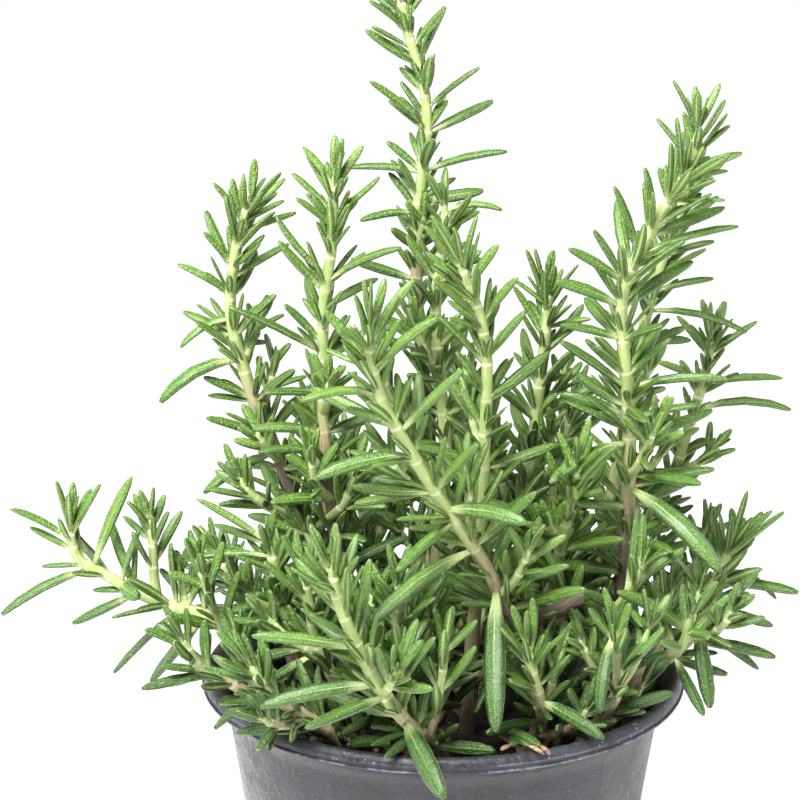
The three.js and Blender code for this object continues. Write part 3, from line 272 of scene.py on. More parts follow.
          [26, 180, 36.5, 18, 184, 2, 0.6]],
    },
    "cane_right_outer": {
        "root": [32, 31], "bare": 45, "leaf": 15, "shoots": 1,
        "route": [[36, 32, 103], [49, 33, 120], [59, 33, 137], [64, 33, 153], [67, 33.5, 164],
          [68.3, 34, 171], [68.5, 35, 177]],
        "standouts": [[68, 166.5, 68, 32, 185, 2, 0.6], [67.5, 170.5, 60, 36, 180.5, 2, 0.4],
          [68.5, 170, 80.5, 36, 179, 2, 0.5], [68.5, 168, 73.5, 38, 182.5, 2, 0.5],
          [67, 164.5, 55, 36, 168.5, 2, 0.4], [68, 162, 87, 32, 165, 2, 1.2],
          [66, 155.5, 89, 29, 157.5, 2.6, 2.6], [58.5, 143.5, 68.5, 37, 147.5, 2.3, 0.3]],
    },
    "cane_right_drooping": {
        "root": [41, -15], "bare": 24, "leaf": 16, "shoots": 2,
        "route": [[46, -16, 103], [55, -17, 109], [60.5, -18, 116], [61, -18, 126]],
        "standouts": [[60, 125.5, 55, -23, 135.5, 2.2, 0.3], [61.5, 117, 63, -25, 100.5, 4.4, 0.6],
          [61.5, 110.5, 79, -24, 111, 3.3, 0.8], [63, 115.5, 76, -18, 105.5, 2.2, 0.8],
          [59.5, 114.5, 40.5, -28, 129, 3.5, 1.4], [55.5, 111, 44.5, -25, 108.5, 2.6, 0.8]],
    },
    "cane_left_trailing": {
        "root": [-31, -16], "bare": 26, "leaf": 18, "shoots": 2,
        "route": [[-37, -15.5, 99], [-44.5, -15, 105], [-51.5, -13, 111.5], [-57, -11.5, 116.5],
          [-65, -10, 118.5], [-74, -9, 121.5], [-83, -8, 126.5], [-88.5, -8, 130],
          [-90.5, -8, 135], [-90.4, -8, 140]],
        "standouts": [[-91.5, 134.5, -104.5, -11, 144, 2, 0.8], [-90.5, 132, -100.5, -7, 138, 2, 0.3],
          [-90.5, 137, -93.5, -8, 150, 2, 0.4], [-90, 136.5, -89.5, -11, 149.5, 2, 0.4],
          [-89.5, 136, -85.5, -6, 147.5, 2, 0.4], [-88.5, 136, -82.5, -12, 150.5, 2.1, 0.5],
          [-84, 131, -75, -11, 152, 2.8, 0.6], [-85.5, 127, -107, -15, 118.5, 3, 1.6],
          [-77.5, 127, -73.5, -12, 139, 2, 0.4], [-78.5, 124.5, -73.5, -17, 123.5, 3.7, 0.8],
          [-66.5, 118, -80, -12, 118.5, 2, 0.6], [-64.5, 121.5, -66, -12, 135.5, 2.5, 0.4],
          [-62.5, 121.5, -56.5, -12, 130.5, 2.1, 0.3], [-64, 116.5, -80.5, -14, 103, 2, 0.8]],
        "sprays": [
            (12, [[-63, -11, 118], [-63.5, -8, 120], [-64, -7, 123], [-64.5, -7, 126.5]]),
        ],
    },
    "cane_front_low": {
        "root": [0, -37], "bare": 10, "leaf": 19, "shoots": 3,
        "route": [[-3, -44, 97], [-9, -52, 106], [-12.7, -56, 112.5], [-16, -58, 118.5],
          [-19.5, -59, 126], [-22, -60, 132], [-24.8, -60, 140], [-25.9, -60, 147]],
        "standouts": [[-9, 107, -1, -75, 98, 4.4, 2.0], [-15.5, 117.5, -42, -62, 114, 3.2, 1.4],
          [-20, 127, -43.5, -62, 131, 2.8, 1.0]],
    },
    "cane_left_low": {
        "root": [-31, -3], "bare": 20, "leaf": 16, "shoots": 2,
        "route": [[-34, -6, 102], [-38.5, -10, 116], [-40.6, -13, 127], [-42, -14, 136]],
        "standouts": [[-44, 132, -62, -14, 132, 2.2, 1.6], [-45, 140, -56, -5, 138, 2.2, 0.6],
          [-47, 142, -59.5, -11, 146.5, 2, 0.4]],
    },
    "cane_front_right_low": {
        "root": [21, -27], "bare": 8, "leaf": 19, "shoots": 2,
        "route": [[22.5, -33, 98], [22.5, -39, 104], [20, -42, 114], [18.4, -43, 122]],
        "standouts": [[22, 106, 35.5, -55, 103.5, 3.4, 1.6]],
    },
    "cane_right_front_low": {
        "root": [33, -25], "bare": 10, "leaf": 17, "shoots": 2,
        "route": [[37, -31, 98], [40, -35, 106], [40, -37, 116], [38.5, -38, 124]],
        "standouts": [[39.5, 122, 35, -48.5, 107, 3.6, 2.0]],
    },
    "cane_front_middle": {
        "root": [-8, -23], "bare": 14, "leaf": 18, "shoots": 3,
        "route": [[-9.5, -30, 101], [-11, -38, 117], [-11.2, -40, 127], [-11, -42, 136]],
    },
    "cane_front_left": {
        "root": [-20, -24], "bare": 14, "leaf": 18, "shoots": 3,
        "route": [[-24, -27, 101], [-30, -29, 116], [-32, -31, 127], [-33, -32, 135]],
        "standouts": [[-29, 114, -53.5, -47, 102.5, 3.0, 2.0]],
    },
    "cane_front_left_rim": {
        "root": [-21, -36], "bare": 8, "leaf": 18, "shoots": 2,
        "route": [[-26, -41, 98], [-33, -45, 105], [-40, -48, 111], [-45, -49, 119]],
    },
    "cane_left_rim": {
        "root": [-38, -22], "bare": 8, "leaf": 17, "shoots": 2,
        "route": [[-44, -24.5, 99], [-51, -27.5, 106], [-58, -30, 111], [-62, -32, 119]],
        "standouts": [[-49, 111, -63.5, -34, 108, 2, 1.6]],
    },
    "cane_middle_right": {
        "root": [23, 4], "bare": 34, "leaf": 18, "shoots": 3,
        "route": [[25, 1, 110], [28, -7, 130], [30, -14, 147], [31, -18, 158]],
        "standouts": [[29, 143, 38.5, -38, 168, 3.4, 1.2]],
    },
    "cane_back_left": {
        "root": [-20, 23], "bare": 24, "leaf": 18, "shoots": 2,
        "route": [[-24, 27, 112], [-30, 31, 138], [-33, 34, 156]],
    },
    "cane_back_middle": {
        "root": [8, 36], "bare": 22, "leaf": 18, "shoots": 2,
        "route": [[9, 41, 112], [8, 46, 140], [6, 49, 161]],
    },
    "cane_back_right": {
        "root": [21, 33], "bare": 24, "leaf": 18, "shoots": 2,
        "route": [[25, 40, 112], [31, 47, 138], [35, 51, 154]],
    },
    "cane_back_low": {
        "root": [-11, 37], "bare": 14, "leaf": 18, "shoots": 2,
        "route": [[-15, 45, 106], [-21, 52, 124], [-25, 56, 140]],
    },
    "cane_left_back_low": {
        "root": [-37, 18], "bare": 14, "leaf": 17, "shoots": 2,
        "route": [[-42, 21, 101], [-49, 25, 107], [-55, 28, 113], [-58, 29, 119]],
    },
    "cane_right_back_low": {
        "root": [43, 12], "bare": 14, "leaf": 17, "shoots": 1,
        "route": [[49, 13, 102], [58, 14, 109], [69, 15, 117], [74, 16, 127]],
        "standouts": [[73.5, 121.5, 84.5, 9, 137.5, 2.4, 0.6], [74, 122, 83, 15, 135, 2.2, 0.5],
          [74.5, 125.5, 76.5, 14, 140.5, 2, 0.5], [74.5, 124.5, 77, 8, 135.5, 2, 0.4],
          [73, 122, 72, 9, 135.5, 2, 0.4], [69.5, 114, 89, 6, 116.5, 3.3, 1.2],
          [68, 111, 80, 8, 122, 2.6, 1], [71.5, 118, 85, 15, 111.5, 2, 2]],
        "sprays": [
            (14, [[58.5, 8, 112.5], [63, 16, 116.5], [66, 22, 122], [68, 25, 128]]),
        ],
    },
}

# ---------------------------------------------------------------- points and directions
# Plain triples in double precision, so that the plant grows alike each time.


def at(point):
    return tuple(float(value) for value in point)


def plus(a, b, share=1.0):
    return (a[0] + share * b[0], a[1] + share * b[1], a[2] + share * b[2])


def minus(a, b):
    return (a[0] - b[0], a[1] - b[1], a[2] - b[2])


def times(a, share):
    return (a[0] * share, a[1] * share, a[2] * share)


def dot(a, b):
    return a[0] * b[0] + a[1] * b[1] + a[2] * b[2]


def cross(a, b):
    return (a[1] * b[2] - a[2] * b[1], a[2] * b[0] - a[0] * b[2], a[0] * b[1] - a[1] * b[0])


def unit(a):
    return times(a, 1 / (math.sqrt(dot(a, a)) or 1))


def lerp(a, b, share):
    return plus(a, minus(b, a), share)


def turned(u, v, angle):
    """A direction turned from one direction towards another."""
    return plus(times(u, math.cos(angle)), v, math.sin(angle))


def squared(a, axis):
    """The direction nearest to another that is square to an axis."""
    return unit(plus(a, axis, -dot(a, axis)))


class Draws:
    """A seeded sequence of numbers."""

    def __init__(self, seed):
        self.state = seed

    def number(self):
        self.state = self.state * 16807 % 2147483647
        return self.state / 2147483647

    def between(self, low, high):
        return low + (high - low) * self.number()

    def about(self, middle, spread):
        return middle + self.between(-spread, spread)


# ---------------------------------------------------------------- ways


def spline_value(a, b, c, d, share):
    """A smooth curve's value between b and c, with a before and d after them."""
    rise_b = 0.5 * (c - a)
    rise_c = 0.5 * (d - b)
    square = -3 * b + 3 * c - 2 * rise_b - rise_c
    cube = 2 * b - 2 * c + rise_b + rise_c
    return b + rise_b * share + square * share**2 + cube * share**3


def spline_point(points, position):
    """The place at a position along a smooth curve, counted in points."""
    last = len(points) - 1
    i = min(int(position), last - 1)
    before = points[i - 1] if i > 0 else plus(minus(points[0], points[1]), points[0])
    end = points[last]
    after = points[i + 2] if i + 2 <= last else plus(minus(end, points[last - 1]), end)
    corners = zip(before, points[i], points[i + 1], after)
    return tuple(spline_value(*corner, position - i) for corner in corners)


class Way:
    """A smooth way through points, which can be asked for places by length along it."""

    def __init__(self, points, turn):
        steps = (len(points) - 1) * WAY_SAMPLES
        self.places = [spline_point(points, (len(points) - 1) * (i / steps)) for i in range(steps + 1)]
        self.lengths = [0.0]
        for before, after in zip(self.places, self.places[1:]):
            self.lengths.append(self.lengths[-1] + math.dist(after, before))
        self.length = self.lengths[-1]
        chord = unit(minus(self.places[-1], self.places[0]))
        side = unit(cross(chord, SIDEWAYS))
        self.across = turned(side, cross(chord, side), turn)

    def frame(self, length):
        """Place, direction and two crosswise directions at a length along the way."""
        wanted = min(max(length, 0), self.length)
        i = 1
        while i < len(self.lengths) - 1 and self.lengths[i] < wanted:
            i += 1
        span = self.lengths[i] - self.lengths[i - 1]
        share = (wanted - self.lengths[i - 1]) / span if span > 0 else 0
        place = lerp(self.places[i - 1], self.places[i], share)
        axis = unit(minus(self.places[i], self.places[i - 1]))
        u = squared(self.across, axis)
        return place, axis, u, cross(axis, u)

    def smooth_axis(self, length):
        """The direction at a length, without the steps between samples."""
        ahead = self.frame(length + AXIS_REACH)[0]
        behind = self.frame(length - AXIS_REACH)[0]
        return unit(minus(ahead, behind))

    def nearest(self, x, z):
        """The length along the way at which it passes nearest to an x and a z."""
        gaps = [math.hypot(place[0] - x, place[2] - z) for place in self.places]
        return self.lengths[gaps.index(min(gaps))]


# ---------------------------------------------------------------- clearance


class Clearance:
    """Strings of beads that follow every stem and leaf, and keep new ones clear of them."""

    def __init__(self):
        self.cells = defaultdict(list)

    def add(self, place, radius, owner):
        cell = tuple(math.floor(value / BEAD_CELL) for value in place)
        self.cells[cell].append((place, radius, owner))

    def near(self, place):
        i, j, k = (math.floor(value / BEAD_CELL) for value in place)
        for a in (i - 1, i, i + 1):
            for b in (j - 1, j, j + 1):
                for c in (k - 1, k, k + 1):
                    if (a, b, c) in self.cells:
                        yield from self.cells[a, b, c]

    def is_free(self, place, radius, owner, own_gap, gap=LEAF_GAP):
        """Whether a bead is clear of other canes by a gap, and of its own cane's leaves."""
        x, y, z = place
        for (a, b, c), other_radius, other_owner in self.near(place):
            kept = own_gap if other_owner == owner else gap
            if kept is None:
                continue
            least = other_radius + radius + kept
            if (a - x) ** 2 + (b - y) ** 2 + (c - z) ** 2 < least * least:
                return False
        return True


def body_radius(z):
    return BASE_RADIUS + (BODY_TOP_RADIUS - BASE_RADIUS) * z / BODY_TOP


def inner_radius(z):
    """The radius of the space inside the pot at a height."""
    wall_inside = body_radius(min(z, BODY_TOP)) - WALL
    if z <= BODY_TOP:
        return wall_inside
    return wall_inside + (RIM_INNER_RADIUS - wall_inside) * (z - BODY_TOP) / (POT_HEIGHT - BODY_TOP)


def pot_is_clear(place, radius):
    """Whether a bead is clear of the pot and of the soil."""
    room = radius + POT_ROOM
    reach = math.hypot(place[0], place[1])
    if place[2] >= POT_HEIGHT + room or reach >= RIM_RADIUS + room:
        return True
    return reach <= inner_radius(place[2]) - room and place[2] >= SOIL_LEVEL + SOIL_BUMP + room


# ---------------------------------------------------------------- stems and leaves


@dataclass
class Stem:
    """A cane, or a shoot that grows from one."""

    owner: str
    way: Way
    radius: float
    tip_radius: float
    bare: float
    leaf: float
    spacing: float
    is_cane: bool = False
    standouts: tuple = ()
    taken: list = field(default_factory=list)
    nodes: list = field(default_factory=list)

    def radius_at(self, length):
        return self.radius + (self.tip_radius - self.radius) * length / self.way.length


@dataclass
class Leaf:
    """A leaf: its middle line, width and upward direction. Age runs from 0, new, to 1."""

    owner: str
    base: tuple
    tip: tuple
    width: float
    up: tuple
    arch: tuple
    age: float = 1.0

    def line(self, share):
        return plus(lerp(self.base, self.tip, share), self.arch, 4 * share * (1 - share))


def shoot_from(cane, points, turn, leaf):
    """A shoot of a cane, through points."""
    return Stem(cane.owner, Way(points, turn), SHOOT_RADIUS, SHOOT_TAPER * SHOOT_RADIUS,
                SHOOT_BARE, leaf, SHOOT_SPACING)


def leaf_width_at(share):
    """The share of its full width that the room round a leaf has along it."""
    opening = min(1, LEAF_FOOT + 2 * share)
    closing = max(0, (share - LEAF_CLOSES) / (1 - LEAF_CLOSES))
    return opening * (1 - LEAF_POINT * closing**2)


def leaf_from(stem, length, azimuth, lean, reach, width, rise, age=1.0):
    """A leaf that leaves its stem at a length and an azimuth, and leans away from it."""
    place, axis, u, v = stem.way.frame(length)
    radial = turned(u, v, azimuth)
    radius = stem.radius_at(length)
    heading = turned(axis, radial, lean)
    base = plus(place, radial, ENTRY * radius)
    tip = plus(base, heading, reach + radius)
    up = squared(axis, heading)
    return Leaf(stem.owner, base, tip, width, up, times(up, rise), age)


def leaf_to(stem, length, tip, width, rise):
    """A leaf from a stem to a tip at a given place."""
    place, axis, _, _ = stem.way.frame(length)
    heading = unit(minus(tip, place))
    up = squared(axis, heading)
    base = plus(place, heading, ENTRY * stem.radius_at(length))
    age = min(1.0, (stem.way.length - length) / GROWN_FROM_TIP)
    return Leaf(stem.owner, base, tip, width, up, times(up, rise), age)


# Ways round an obstacle: turn and lean in radians, and a share of the leaf's length.
DETOURS = ((0, 0, 1), (0.3, 0, 1), (-0.3, 0, 1), (0, -0.22, 1), (0, 0.25, 0.95),
           (0.5, -0.15, 0.9), (-0.5, -0.15, 0.9), (0, -0.1, 0.72), (0.35, 0.2, 0.72),
           (-0.35, 0.2, 0.72), (0, -0.35, 0.6))
# The same for a leaf whose tip is given: steps to the front or to the back.
NUDGES = (0, -2.5, 2.5, -5, 5)


class Plant:
    """Every stem and leaf of the plant, grown in the order that its solids are."""

    def __init__(self):
        self.draws = Draws(SEED)
        self.clearance = Clearance()
        self.leaves = []
        self.missed = []
        self.stems = [self.cane(i, owner) for i, owner in enumerate(CANES)]
        self.shoots = [spray for stem in self.stems for spray in self.sprays(stem)]
        for stem in self.stems:
            self.bead_stem(stem, 0)
        for spray in self.shoots:
            self.bead_stem(spray, SHOOT_STEP)
        for stem in self.stems:
            self.place_standouts(stem)
        for stem in self.stems:
            self.grow_shoots(stem, CANES[stem.owner]["shoots"])
        pairs = [(stem, pair) for stem in self.stems + self.shoots for pair in self.leaf_pairs(stem)]
        pairs.sort(key=lambda entry: entry[1][2])
        for stem, pair in pairs:
            self.place_pair(stem, *pair)

    @staticmethod
    def cane(i, owner):
        """A cane: straight up out of the soil, then along its route."""
        given = CANES[owner]
        x, y = given["root"]
        foot = [(x, y, SOIL_LEVEL + rise) for rise in FOOT_RISE]
        way = Way([at(point) for point in [*foot, *given["route"]]], CANE_TURN * i)
        return Stem(owner, way, CANE_RADIUS, CANE_TIP_RADIUS, given["bare"] + FOOT_DEPTH,
                    given["leaf"], CANE_SPACING, True, given.get("standouts", ()))

    @staticmethod
    def sprays(cane):
        """The side shoots of a cane that have a place of their own."""
        return [shoot_from(cane, [at(point) for point in route], SPRAY_TURN * i, leaf)
                for i, (leaf, route) in enumerate(CANES[cane.owner].get("sprays", ()))]

    def bead_stem(self, stem, start):
        length = start
        while length <= stem.way.length:
            place = stem.way.frame(length)[0]
            self.clearance.add(place, stem.radius_at(length) + STEM_ROOM, stem.owner)
            length += BEAD_STEP

    def keep_leaf(self, leaf, gap=LEAF_GAP):
        """Keeps a leaf if it is clear of everything else."""
        length = math.dist(leaf.base, leaf.tip)
        count = math.ceil(length / BEAD_STEP)
        beads = []
        for i in range(1, count + 1):
            share = i / count
            radius = 0.5 * leaf.width * leaf_width_at(share) + LEAF_ROOM
            own_gap = -OWN_OVERLAP if share * length > OWN_STRETCH else None
            place = leaf.line(share)
            if not self.clearance.is_free(place, radius, leaf.owner, own_gap, gap):
                return False
            if not pot_is_clear(place, radius):
                return False
            beads.append((place, radius))
        for place, radius in beads:
            self.clearance.add(place, radius, leaf.owner)
        self.leaves.append(leaf)
        return True

    def place_leaf(self, stem, length, azimuth, lean, reach, width, rise, age, gap=LEAF_GAP):
        return any(
            self.keep_leaf(leaf_from(stem, length, azimuth + turn, lean + tilt, reach * share,
                                     width, rise, age), gap)
            for turn, tilt, share in DETOURS)

    def place_standouts(self, stem):
        """The leaves that break the outline, nudged in depth where one is blocked."""
        for base_x, base_z, x, y, z, width, rise in stem.standouts:
            length = stem.way.nearest(base_x, base_z)
            for nudge in NUDGES:
                if self.keep_leaf(leaf_to(stem, length, at((x, y + nudge, z)), width, rise)):
                    break
            else:
                self.missed.append((stem, length, at((x, y, z)), width, rise))
            place, _, u, v = stem.way.frame(length)
            outward = minus((x, y, z), place)
            stem.taken.append((length, math.atan2(dot(outward, v), dot(outward, u))))

    def grow_shoots(self, cane, count):
        """The side shoots of a cane, each a quarter turn from the last."""
        bare = cane.bare
        top = bare + SHOOTS_UP_TO * (cane.way.length - bare)
        for i in range(count):
            share = (i + 0.5) / count
            length = bare + (top - bare) * share + self.draws.about(0, SHOOT_SHIFT)
            for turn in (0, 0.5 * math.pi, math.pi, 1.5 * math.pi):
                azimuth = math.pi / 4 + i * math.pi / 2 + turn
                wanted = self.draws.between(*SHOOT_LENGTHS) * (SHOOT_LOWEST - SHOOT_LESS * share)
                shoot = self.grow_shoot(cane, length, azimuth, wanted, self.draws)
                if shoot:
                    self.bead_stem(shoot, SHOOT_STEP)
                    self.shoots.append(shoot)
                    break

    def grow_shoot(self, cane, length, azimuth, wanted, draws):
        """Grows a side shoot outwards from a cane and then up, round what is in its way."""
        place, axis, u, v = cane.way.frame(length)
        radial = turned(u, v, azimuth)
        heading = unit(plus(times(radial, SHOOT_OUTWARD), axis, SHOOT_ALONG))
        tip = plus(place, radial, SHOOT_ENTRY * CANE_RADIUS)
        points = [tip]
        room = SHOOT_RADIUS + SHOOT_ROOM
        while len(points) * SHOOT_STEP <= wanted:
            sway_x, sway_y = (draws.between(-SHOOT_SWAY, SHOOT_SWAY) for _ in "xy")
            heading = unit(plus(heading, (sway_x, sway_y, SHOOT_LIFT)))
            following = plus(tip, heading, SHOOT_STEP)
            beyond = plus(following, heading, 0.5 * SHOOT_STEP)
            away = SHOOT_OWN_GAP if len(points) > 1 else None
            if not all(self.clearance.is_free(bead, room, cane.owner, away) and pot_is_clear(bead, room)
                       for bead in (following, beyond)):
                break
            tip = following
            points.append(tip)
        if len(points) < SHOOT_FEWEST_STEPS:
            return None
        return shoot_from(cane, points, draws.between(0, 3), SHOOT_LEAF * cane.leaf)

    def leaf_pairs(self, stem):
        """The pairs of a stem from its tip down, each a quarter turn from the last."""
        pairs = []
        length = stem.way.length - FIRST_PAIR
        azimuth = math.pi / 4
        while length > stem.bare:
            k = len(pairs)
            pairs.append((length, azimuth, k))
            spacing = min(stem.spacing, TIP_SPACING + SPACING_GROWTH * k)
            length -= spacing * self.draws.between(*SPACING_DRAWS)
            azimuth += math.pi / 2
        stem.nodes = pairs
        return pairs

    def place_pair(self, stem, length, azimuth, k):
        """Places both leaves of a pair, where no leaf of the outline takes the place."""
        draws = self.draws
        for turn in (0, math.pi):
            mine = azimuth + turn + draws.between(-0.12, 0.12)
            grown = min(1, LEAF_FIRST_SHARE + LEAF_SHARE_STEP * k)
            there = length + draws.between(-0.5, 0.5)
            lean = min(LEAF_MOST_LEAN, LEAF_FIRST_LEAN + LEAF_LEAN_STEP * k) + draws.between(-7, 7)
            reach = stem.leaf * grown * draws.between(*REACH_DRAWS)
            width = (LEAF_NARROW + LEAF_GROWTH * grown) * draws.between(*WIDTH_DRAWS)
            rise = draws.between(*LEAF_ARCH) * grown
            doubled = any(abs(other - length) < TAKEN_LENGTH
                          and math.cos(other_azimuth - mine) > TAKEN_FACING
                          for other, other_azimuth in stem.taken)
            if not doubled:
                age = min(1.0, k / GROWN_FROM_PAIR)
                self.place_leaf(stem, there, mine, math.radians(lean), reach, width, rise, age)


# ---------------------------------------------------------------- fine growth
# What the solids leave out: the buds at the tips, the small leaves in the axils of the
# grown ones, and the low sprigs that close the bush over the soil.

BUD_LEAVES = 4
BUD_LEANS = (4, 17)    # degrees from upright along the stem
BUD_REACHES = (0.2, 0.42)   # shares of a grown leaf's length
BUD_WIDTHS = (0.9, 1.4)
BUD_DEPTHS = (0.2, 1.2)   # below the tip
BUD_ARCH = 0.2
AXIL_FROM_PAIR = 2     # counted from the tip
AXIL_GAP = -0.1        # small leaves may brush those of other canes
AXIL_LEANS = (14, 54)
AXIL_REACHES = (0.38, 0.76)
AXIL_WIDTHS = (1.3, 2.0)
AXIL_HEIGHTS = (0.3, 1.4)   # above the pair
AXIL_AGES = (0.1, 0.6)
AXIL_ARCH = 0.3
AXIL_TURN = 0.55       # between small leaves in one axil
THIN_CANES = ("cane_left_trailing", "cane_left_rim")   # with fewer, and no sprigs
SPRIG_LENGTHS = (13, 22)
SPRIG_STEPS = (4, 7)   # from each sprig of a cane up to the next
SPRIG_TURN = 137       # degrees round the cane
SPRIG_GROWTH = (1.05, 1.4)   # of a sprig's leaves against those of other shoots
SPRIG_SPACINGS = (6.5, 8.5)
SPRIG_REACHES = (0.75, 1.1)
SPRIG_WIDTHS = (2.0, 2.8)
SPRIG_MOST_LEAN = 84
SPRIG_GAP = 0.05
SPRIG_LOWEST = 4       # above the soil
SPRIG_HIGHEST = 46
# Leaves that lie on the lip with dry, torn ends: the foot, where it begins to dry, and the end.
TORN_LEAVES = (((13.5, -41, 99.5), (21.2, -54.6, 101.6), (23.2, -59.4, 101.5)),
               ((15.0, -44, 98.9), (18.6, -53.2, 101.0), (21.9, -58.6, 101.3)),
               ((17.3, -46, 98.5), (14.6, -52.4, 100.6), (12.2, -56.2, 101.2)))
TORN_WIDTH = 2.4
TORN_ARCH = 0.9
TORN_END_WIDTH = 1.0
TORN_END_ARCH = 0.3


def grow_torn_leaves(grown):
    """The green parts of the leaves that lie on the lip."""
    for foot, torn, _ in TORN_LEAVES:
        arch = times(UPWARD, TORN_ARCH)
        grown.leaves.append(Leaf("cane_front_right_low", foot, torn, TORN_WIDTH, UPWARD, arch))


def grow_missed(grown):
    """The leaves of the outline that the solids had no room for, pressed in among the others."""
    for stem, length, tip, width, rise in grown.missed:
        grown.leaves.append(leaf_to(stem, length, tip, width, rise))


def grow_buds(grown, draws):
    """A few new leaves, nearly upright, inside the pair at every tip."""
    for stem in grown.stems + grown.shoots:
        for i in range(BUD_LEAVES):
            azimuth = draws.about((i + 0.5) * math.pi / 2, 0.25)
            lean = math.radians(draws.between(*BUD_LEANS))
            reach = stem.leaf * draws.between(*BUD_REACHES)
            length = stem.way.length - draws.between(*BUD_DEPTHS)
            width = draws.between(*BUD_WIDTHS)
            grown.leaves.append(leaf_from(stem, length, azimuth, lean, reach, width, BUD_ARCH, 0.0))


def grow_axil_leaves(grown, draws):
    """Small leaves that stand in the axils of each pair."""
    for stem in grown.stems + grown.shoots:
        each = 3 if stem.is_cane and stem.owner not in THIN_CANES else 1
        for length, azimuth, _ in stem.nodes[AXIL_FROM_PAIR:]:
            for turn in (0, math.pi):
                for i in range(each):
                    mine = draws.about(azimuth + turn + (i - 0.5 * (each - 1)) * AXIL_TURN, 0.2)
                    lean = math.radians(draws.between(*AXIL_LEANS))
                    reach = stem.leaf * draws.between(*AXIL_REACHES)
                    width = draws.between(*AXIL_WIDTHS)
                    there = length + draws.between(*AXIL_HEIGHTS)
                    age = draws.between(*AXIL_AGES)
                    grown.place_leaf(stem, there, mine, lean, reach, width, AXIL_ARCH, age, AXIL_GAP)


def grow_sprigs(grown, draws):
    """Short low shoots that fill the bush from the soil up."""
    sprigs = []
    for stem in [stem for stem in grown.stems if stem.owner not in THIN_CANES]:
        length = FOOT_DEPTH + SPRIG_LOWEST
        azimuth = draws.between(0, 2 * math.pi)
        while length < min(FOOT_DEPTH + SPRIG_HIGHEST, 0.8 * stem.way.length):
            wanted = draws.between(*SPRIG_LENGTHS)
            sprig = grown.grow_shoot(stem, length, azimuth, wanted, draws)
            if sprig:
                grown.bead_stem(sprig, SHOOT_STEP)
                sprigs.append(sprig)
            length += draws.between(*SPRIG_STEPS)
            azimuth += math.radians(draws.about(SPRIG_TURN, 20))
    grown.shoots += sprigs
    for sprig in sprigs:
        sprig.leaf *= draws.between(*SPRIG_GROWTH)
        sprig.spacing = draws.between(*SPRIG_SPACINGS)
        for k, (length, azimuth) in enumerate(sprig_pairs(sprig, draws)):
            for turn in (0, math.pi):
                mine = draws.about(azimuth + turn, 0.2)
                lean = math.radians(draws.about(min(SPRIG_MOST_LEAN, 24 + 15 * k), 12))
                reach = sprig.leaf * min(1, 0.55 + 0.2 * k) * draws.between(*SPRIG_REACHES)
                width = draws.between(*SPRIG_WIDTHS)
                rise = draws.between(*LEAF_ARCH)
                age = min(1.0, 0.3 + k / 5)
                grown.place_leaf(sprig, length, mine, lean, reach, width, rise, age, SPRIG_GAP)


def sprig_pairs(sprig, draws):
    """The places of a sprig's pairs, from its tip down."""
    pairs = []
    length = sprig.way.length - 0.5
    azimuth = draws.between(0, math.pi)
    while length > 2:
        pairs.append((length, azimuth))
        length -= sprig.spacing * draws.between(0.6, 1)
        azimuth += math.pi / 2
    return pairs


@functools.cache
def plant():
    """The whole plant, grown once for the stems and the leaves."""
    grown = Plant()
    draws = Draws(FINE_SEED)
    grow_missed(grown)
    grow_torn_leaves(grown)
    grow_sprigs(grown, draws)
    grow_axil_leaves(grown, draws)
    grow_buds(grown, draws)
    return grown

# ---------------------------------------------------------------- settings


def colour(name, description, value):
    return bpy.props.FloatVectorProperty(
        name=name, description=description, default=value, size=3, min=0, max=1, subtype="COLOR")


def share(name, description, value):
    return bpy.props.FloatProperty(
        name=name, description=description, default=value, min=0, max=1, subtype="FACTOR")


def size(name, description, value):
    return bpy.props.FloatProperty(
        name=name, description=description, default=value, min=0, unit="LENGTH")


def angle(name, description, degrees):
    return bpy.props.FloatProperty(
        name=name, description=description, default=math.radians(degrees), subtype="ANGLE")


def number(name, description, value):
    return bpy.props.FloatProperty(name=name, description=description, default=value)


def amount(name, description, value):
    return bpy.props.IntProperty(name=name, description=description, default=value)


class RosemaryLeafSettings(bpy.types.PropertyGroup):
    """Form and colours of the leaves."""

    thickness: share("Thickness", "Thickness of a blade, as a share of its width", 0.5)
    breadth: number("Breadth", "Width of a blade against the width it was grown with", 1.16)
    towards_light: angle("Towards light", "How far a blade turns its face to the front", 46)
    twist: angle("Twist", "Most that a blade turns from its base to its tip", 24)
    roll: angle("Roll", "Most that a whole blade turns either way", 20)
    sway: share("Sway", "Sideways bend of a blade, as a share of its length", 0.035)
    new_top: colour("New leaf", "Upper side of a leaf that has just opened", (0.088, 0.172, 0.023))
    grown_top: colour("Grown leaf", "Upper side of a grown leaf", (0.039, 0.1, 0.008))
    blue_top: colour("Shaded leaf", "Upper side of a leaf with a bluish bloom", (0.051, 0.12, 0.016))
    # Painted shade colour, along the rolled edges and over the low leaves deep in the bush.
    margin: colour("Margin", "Shade along the rolled edges", (0.014, 0.042, 0.007))
    felt: colour("Felt", "Pale felt of the underside", (0.21, 0.34, 0.095))
    midrib: colour("Midrib", "Midrib and foot of a leaf", (0.42, 0.50, 0.22))
    tip: colour("Tip", "Dry point of a leaf", (0.22, 0.17, 0.07))


class RosemaryStemSettings(bpy.types.PropertyGroup):
    """Form and colours of the canes and shoots."""

    swelling: share("Node swelling", "How much a stem thickens where leaves leave it", 0.06)
    squareness: share("Squareness", "How square the stem's section is", 0.07)
    young: colour("Young stem", "Soft stem near the tip", (0.275, 0.33, 0.118))
    soft_tip: colour("Soft tip", "Green of the tip and of the lines below it", (0.20, 0.32, 0.08))
    ripening: colour("Ripening stem", "Stem that turns to wood", (0.33, 0.25, 0.145))
    bark: colour("Bark", "Old wood near the soil", (0.105, 0.072, 0.057))
    node_ring: colour("Node ring", "Pale ring where leaves leave the stem", (0.74, 0.74, 0.54))


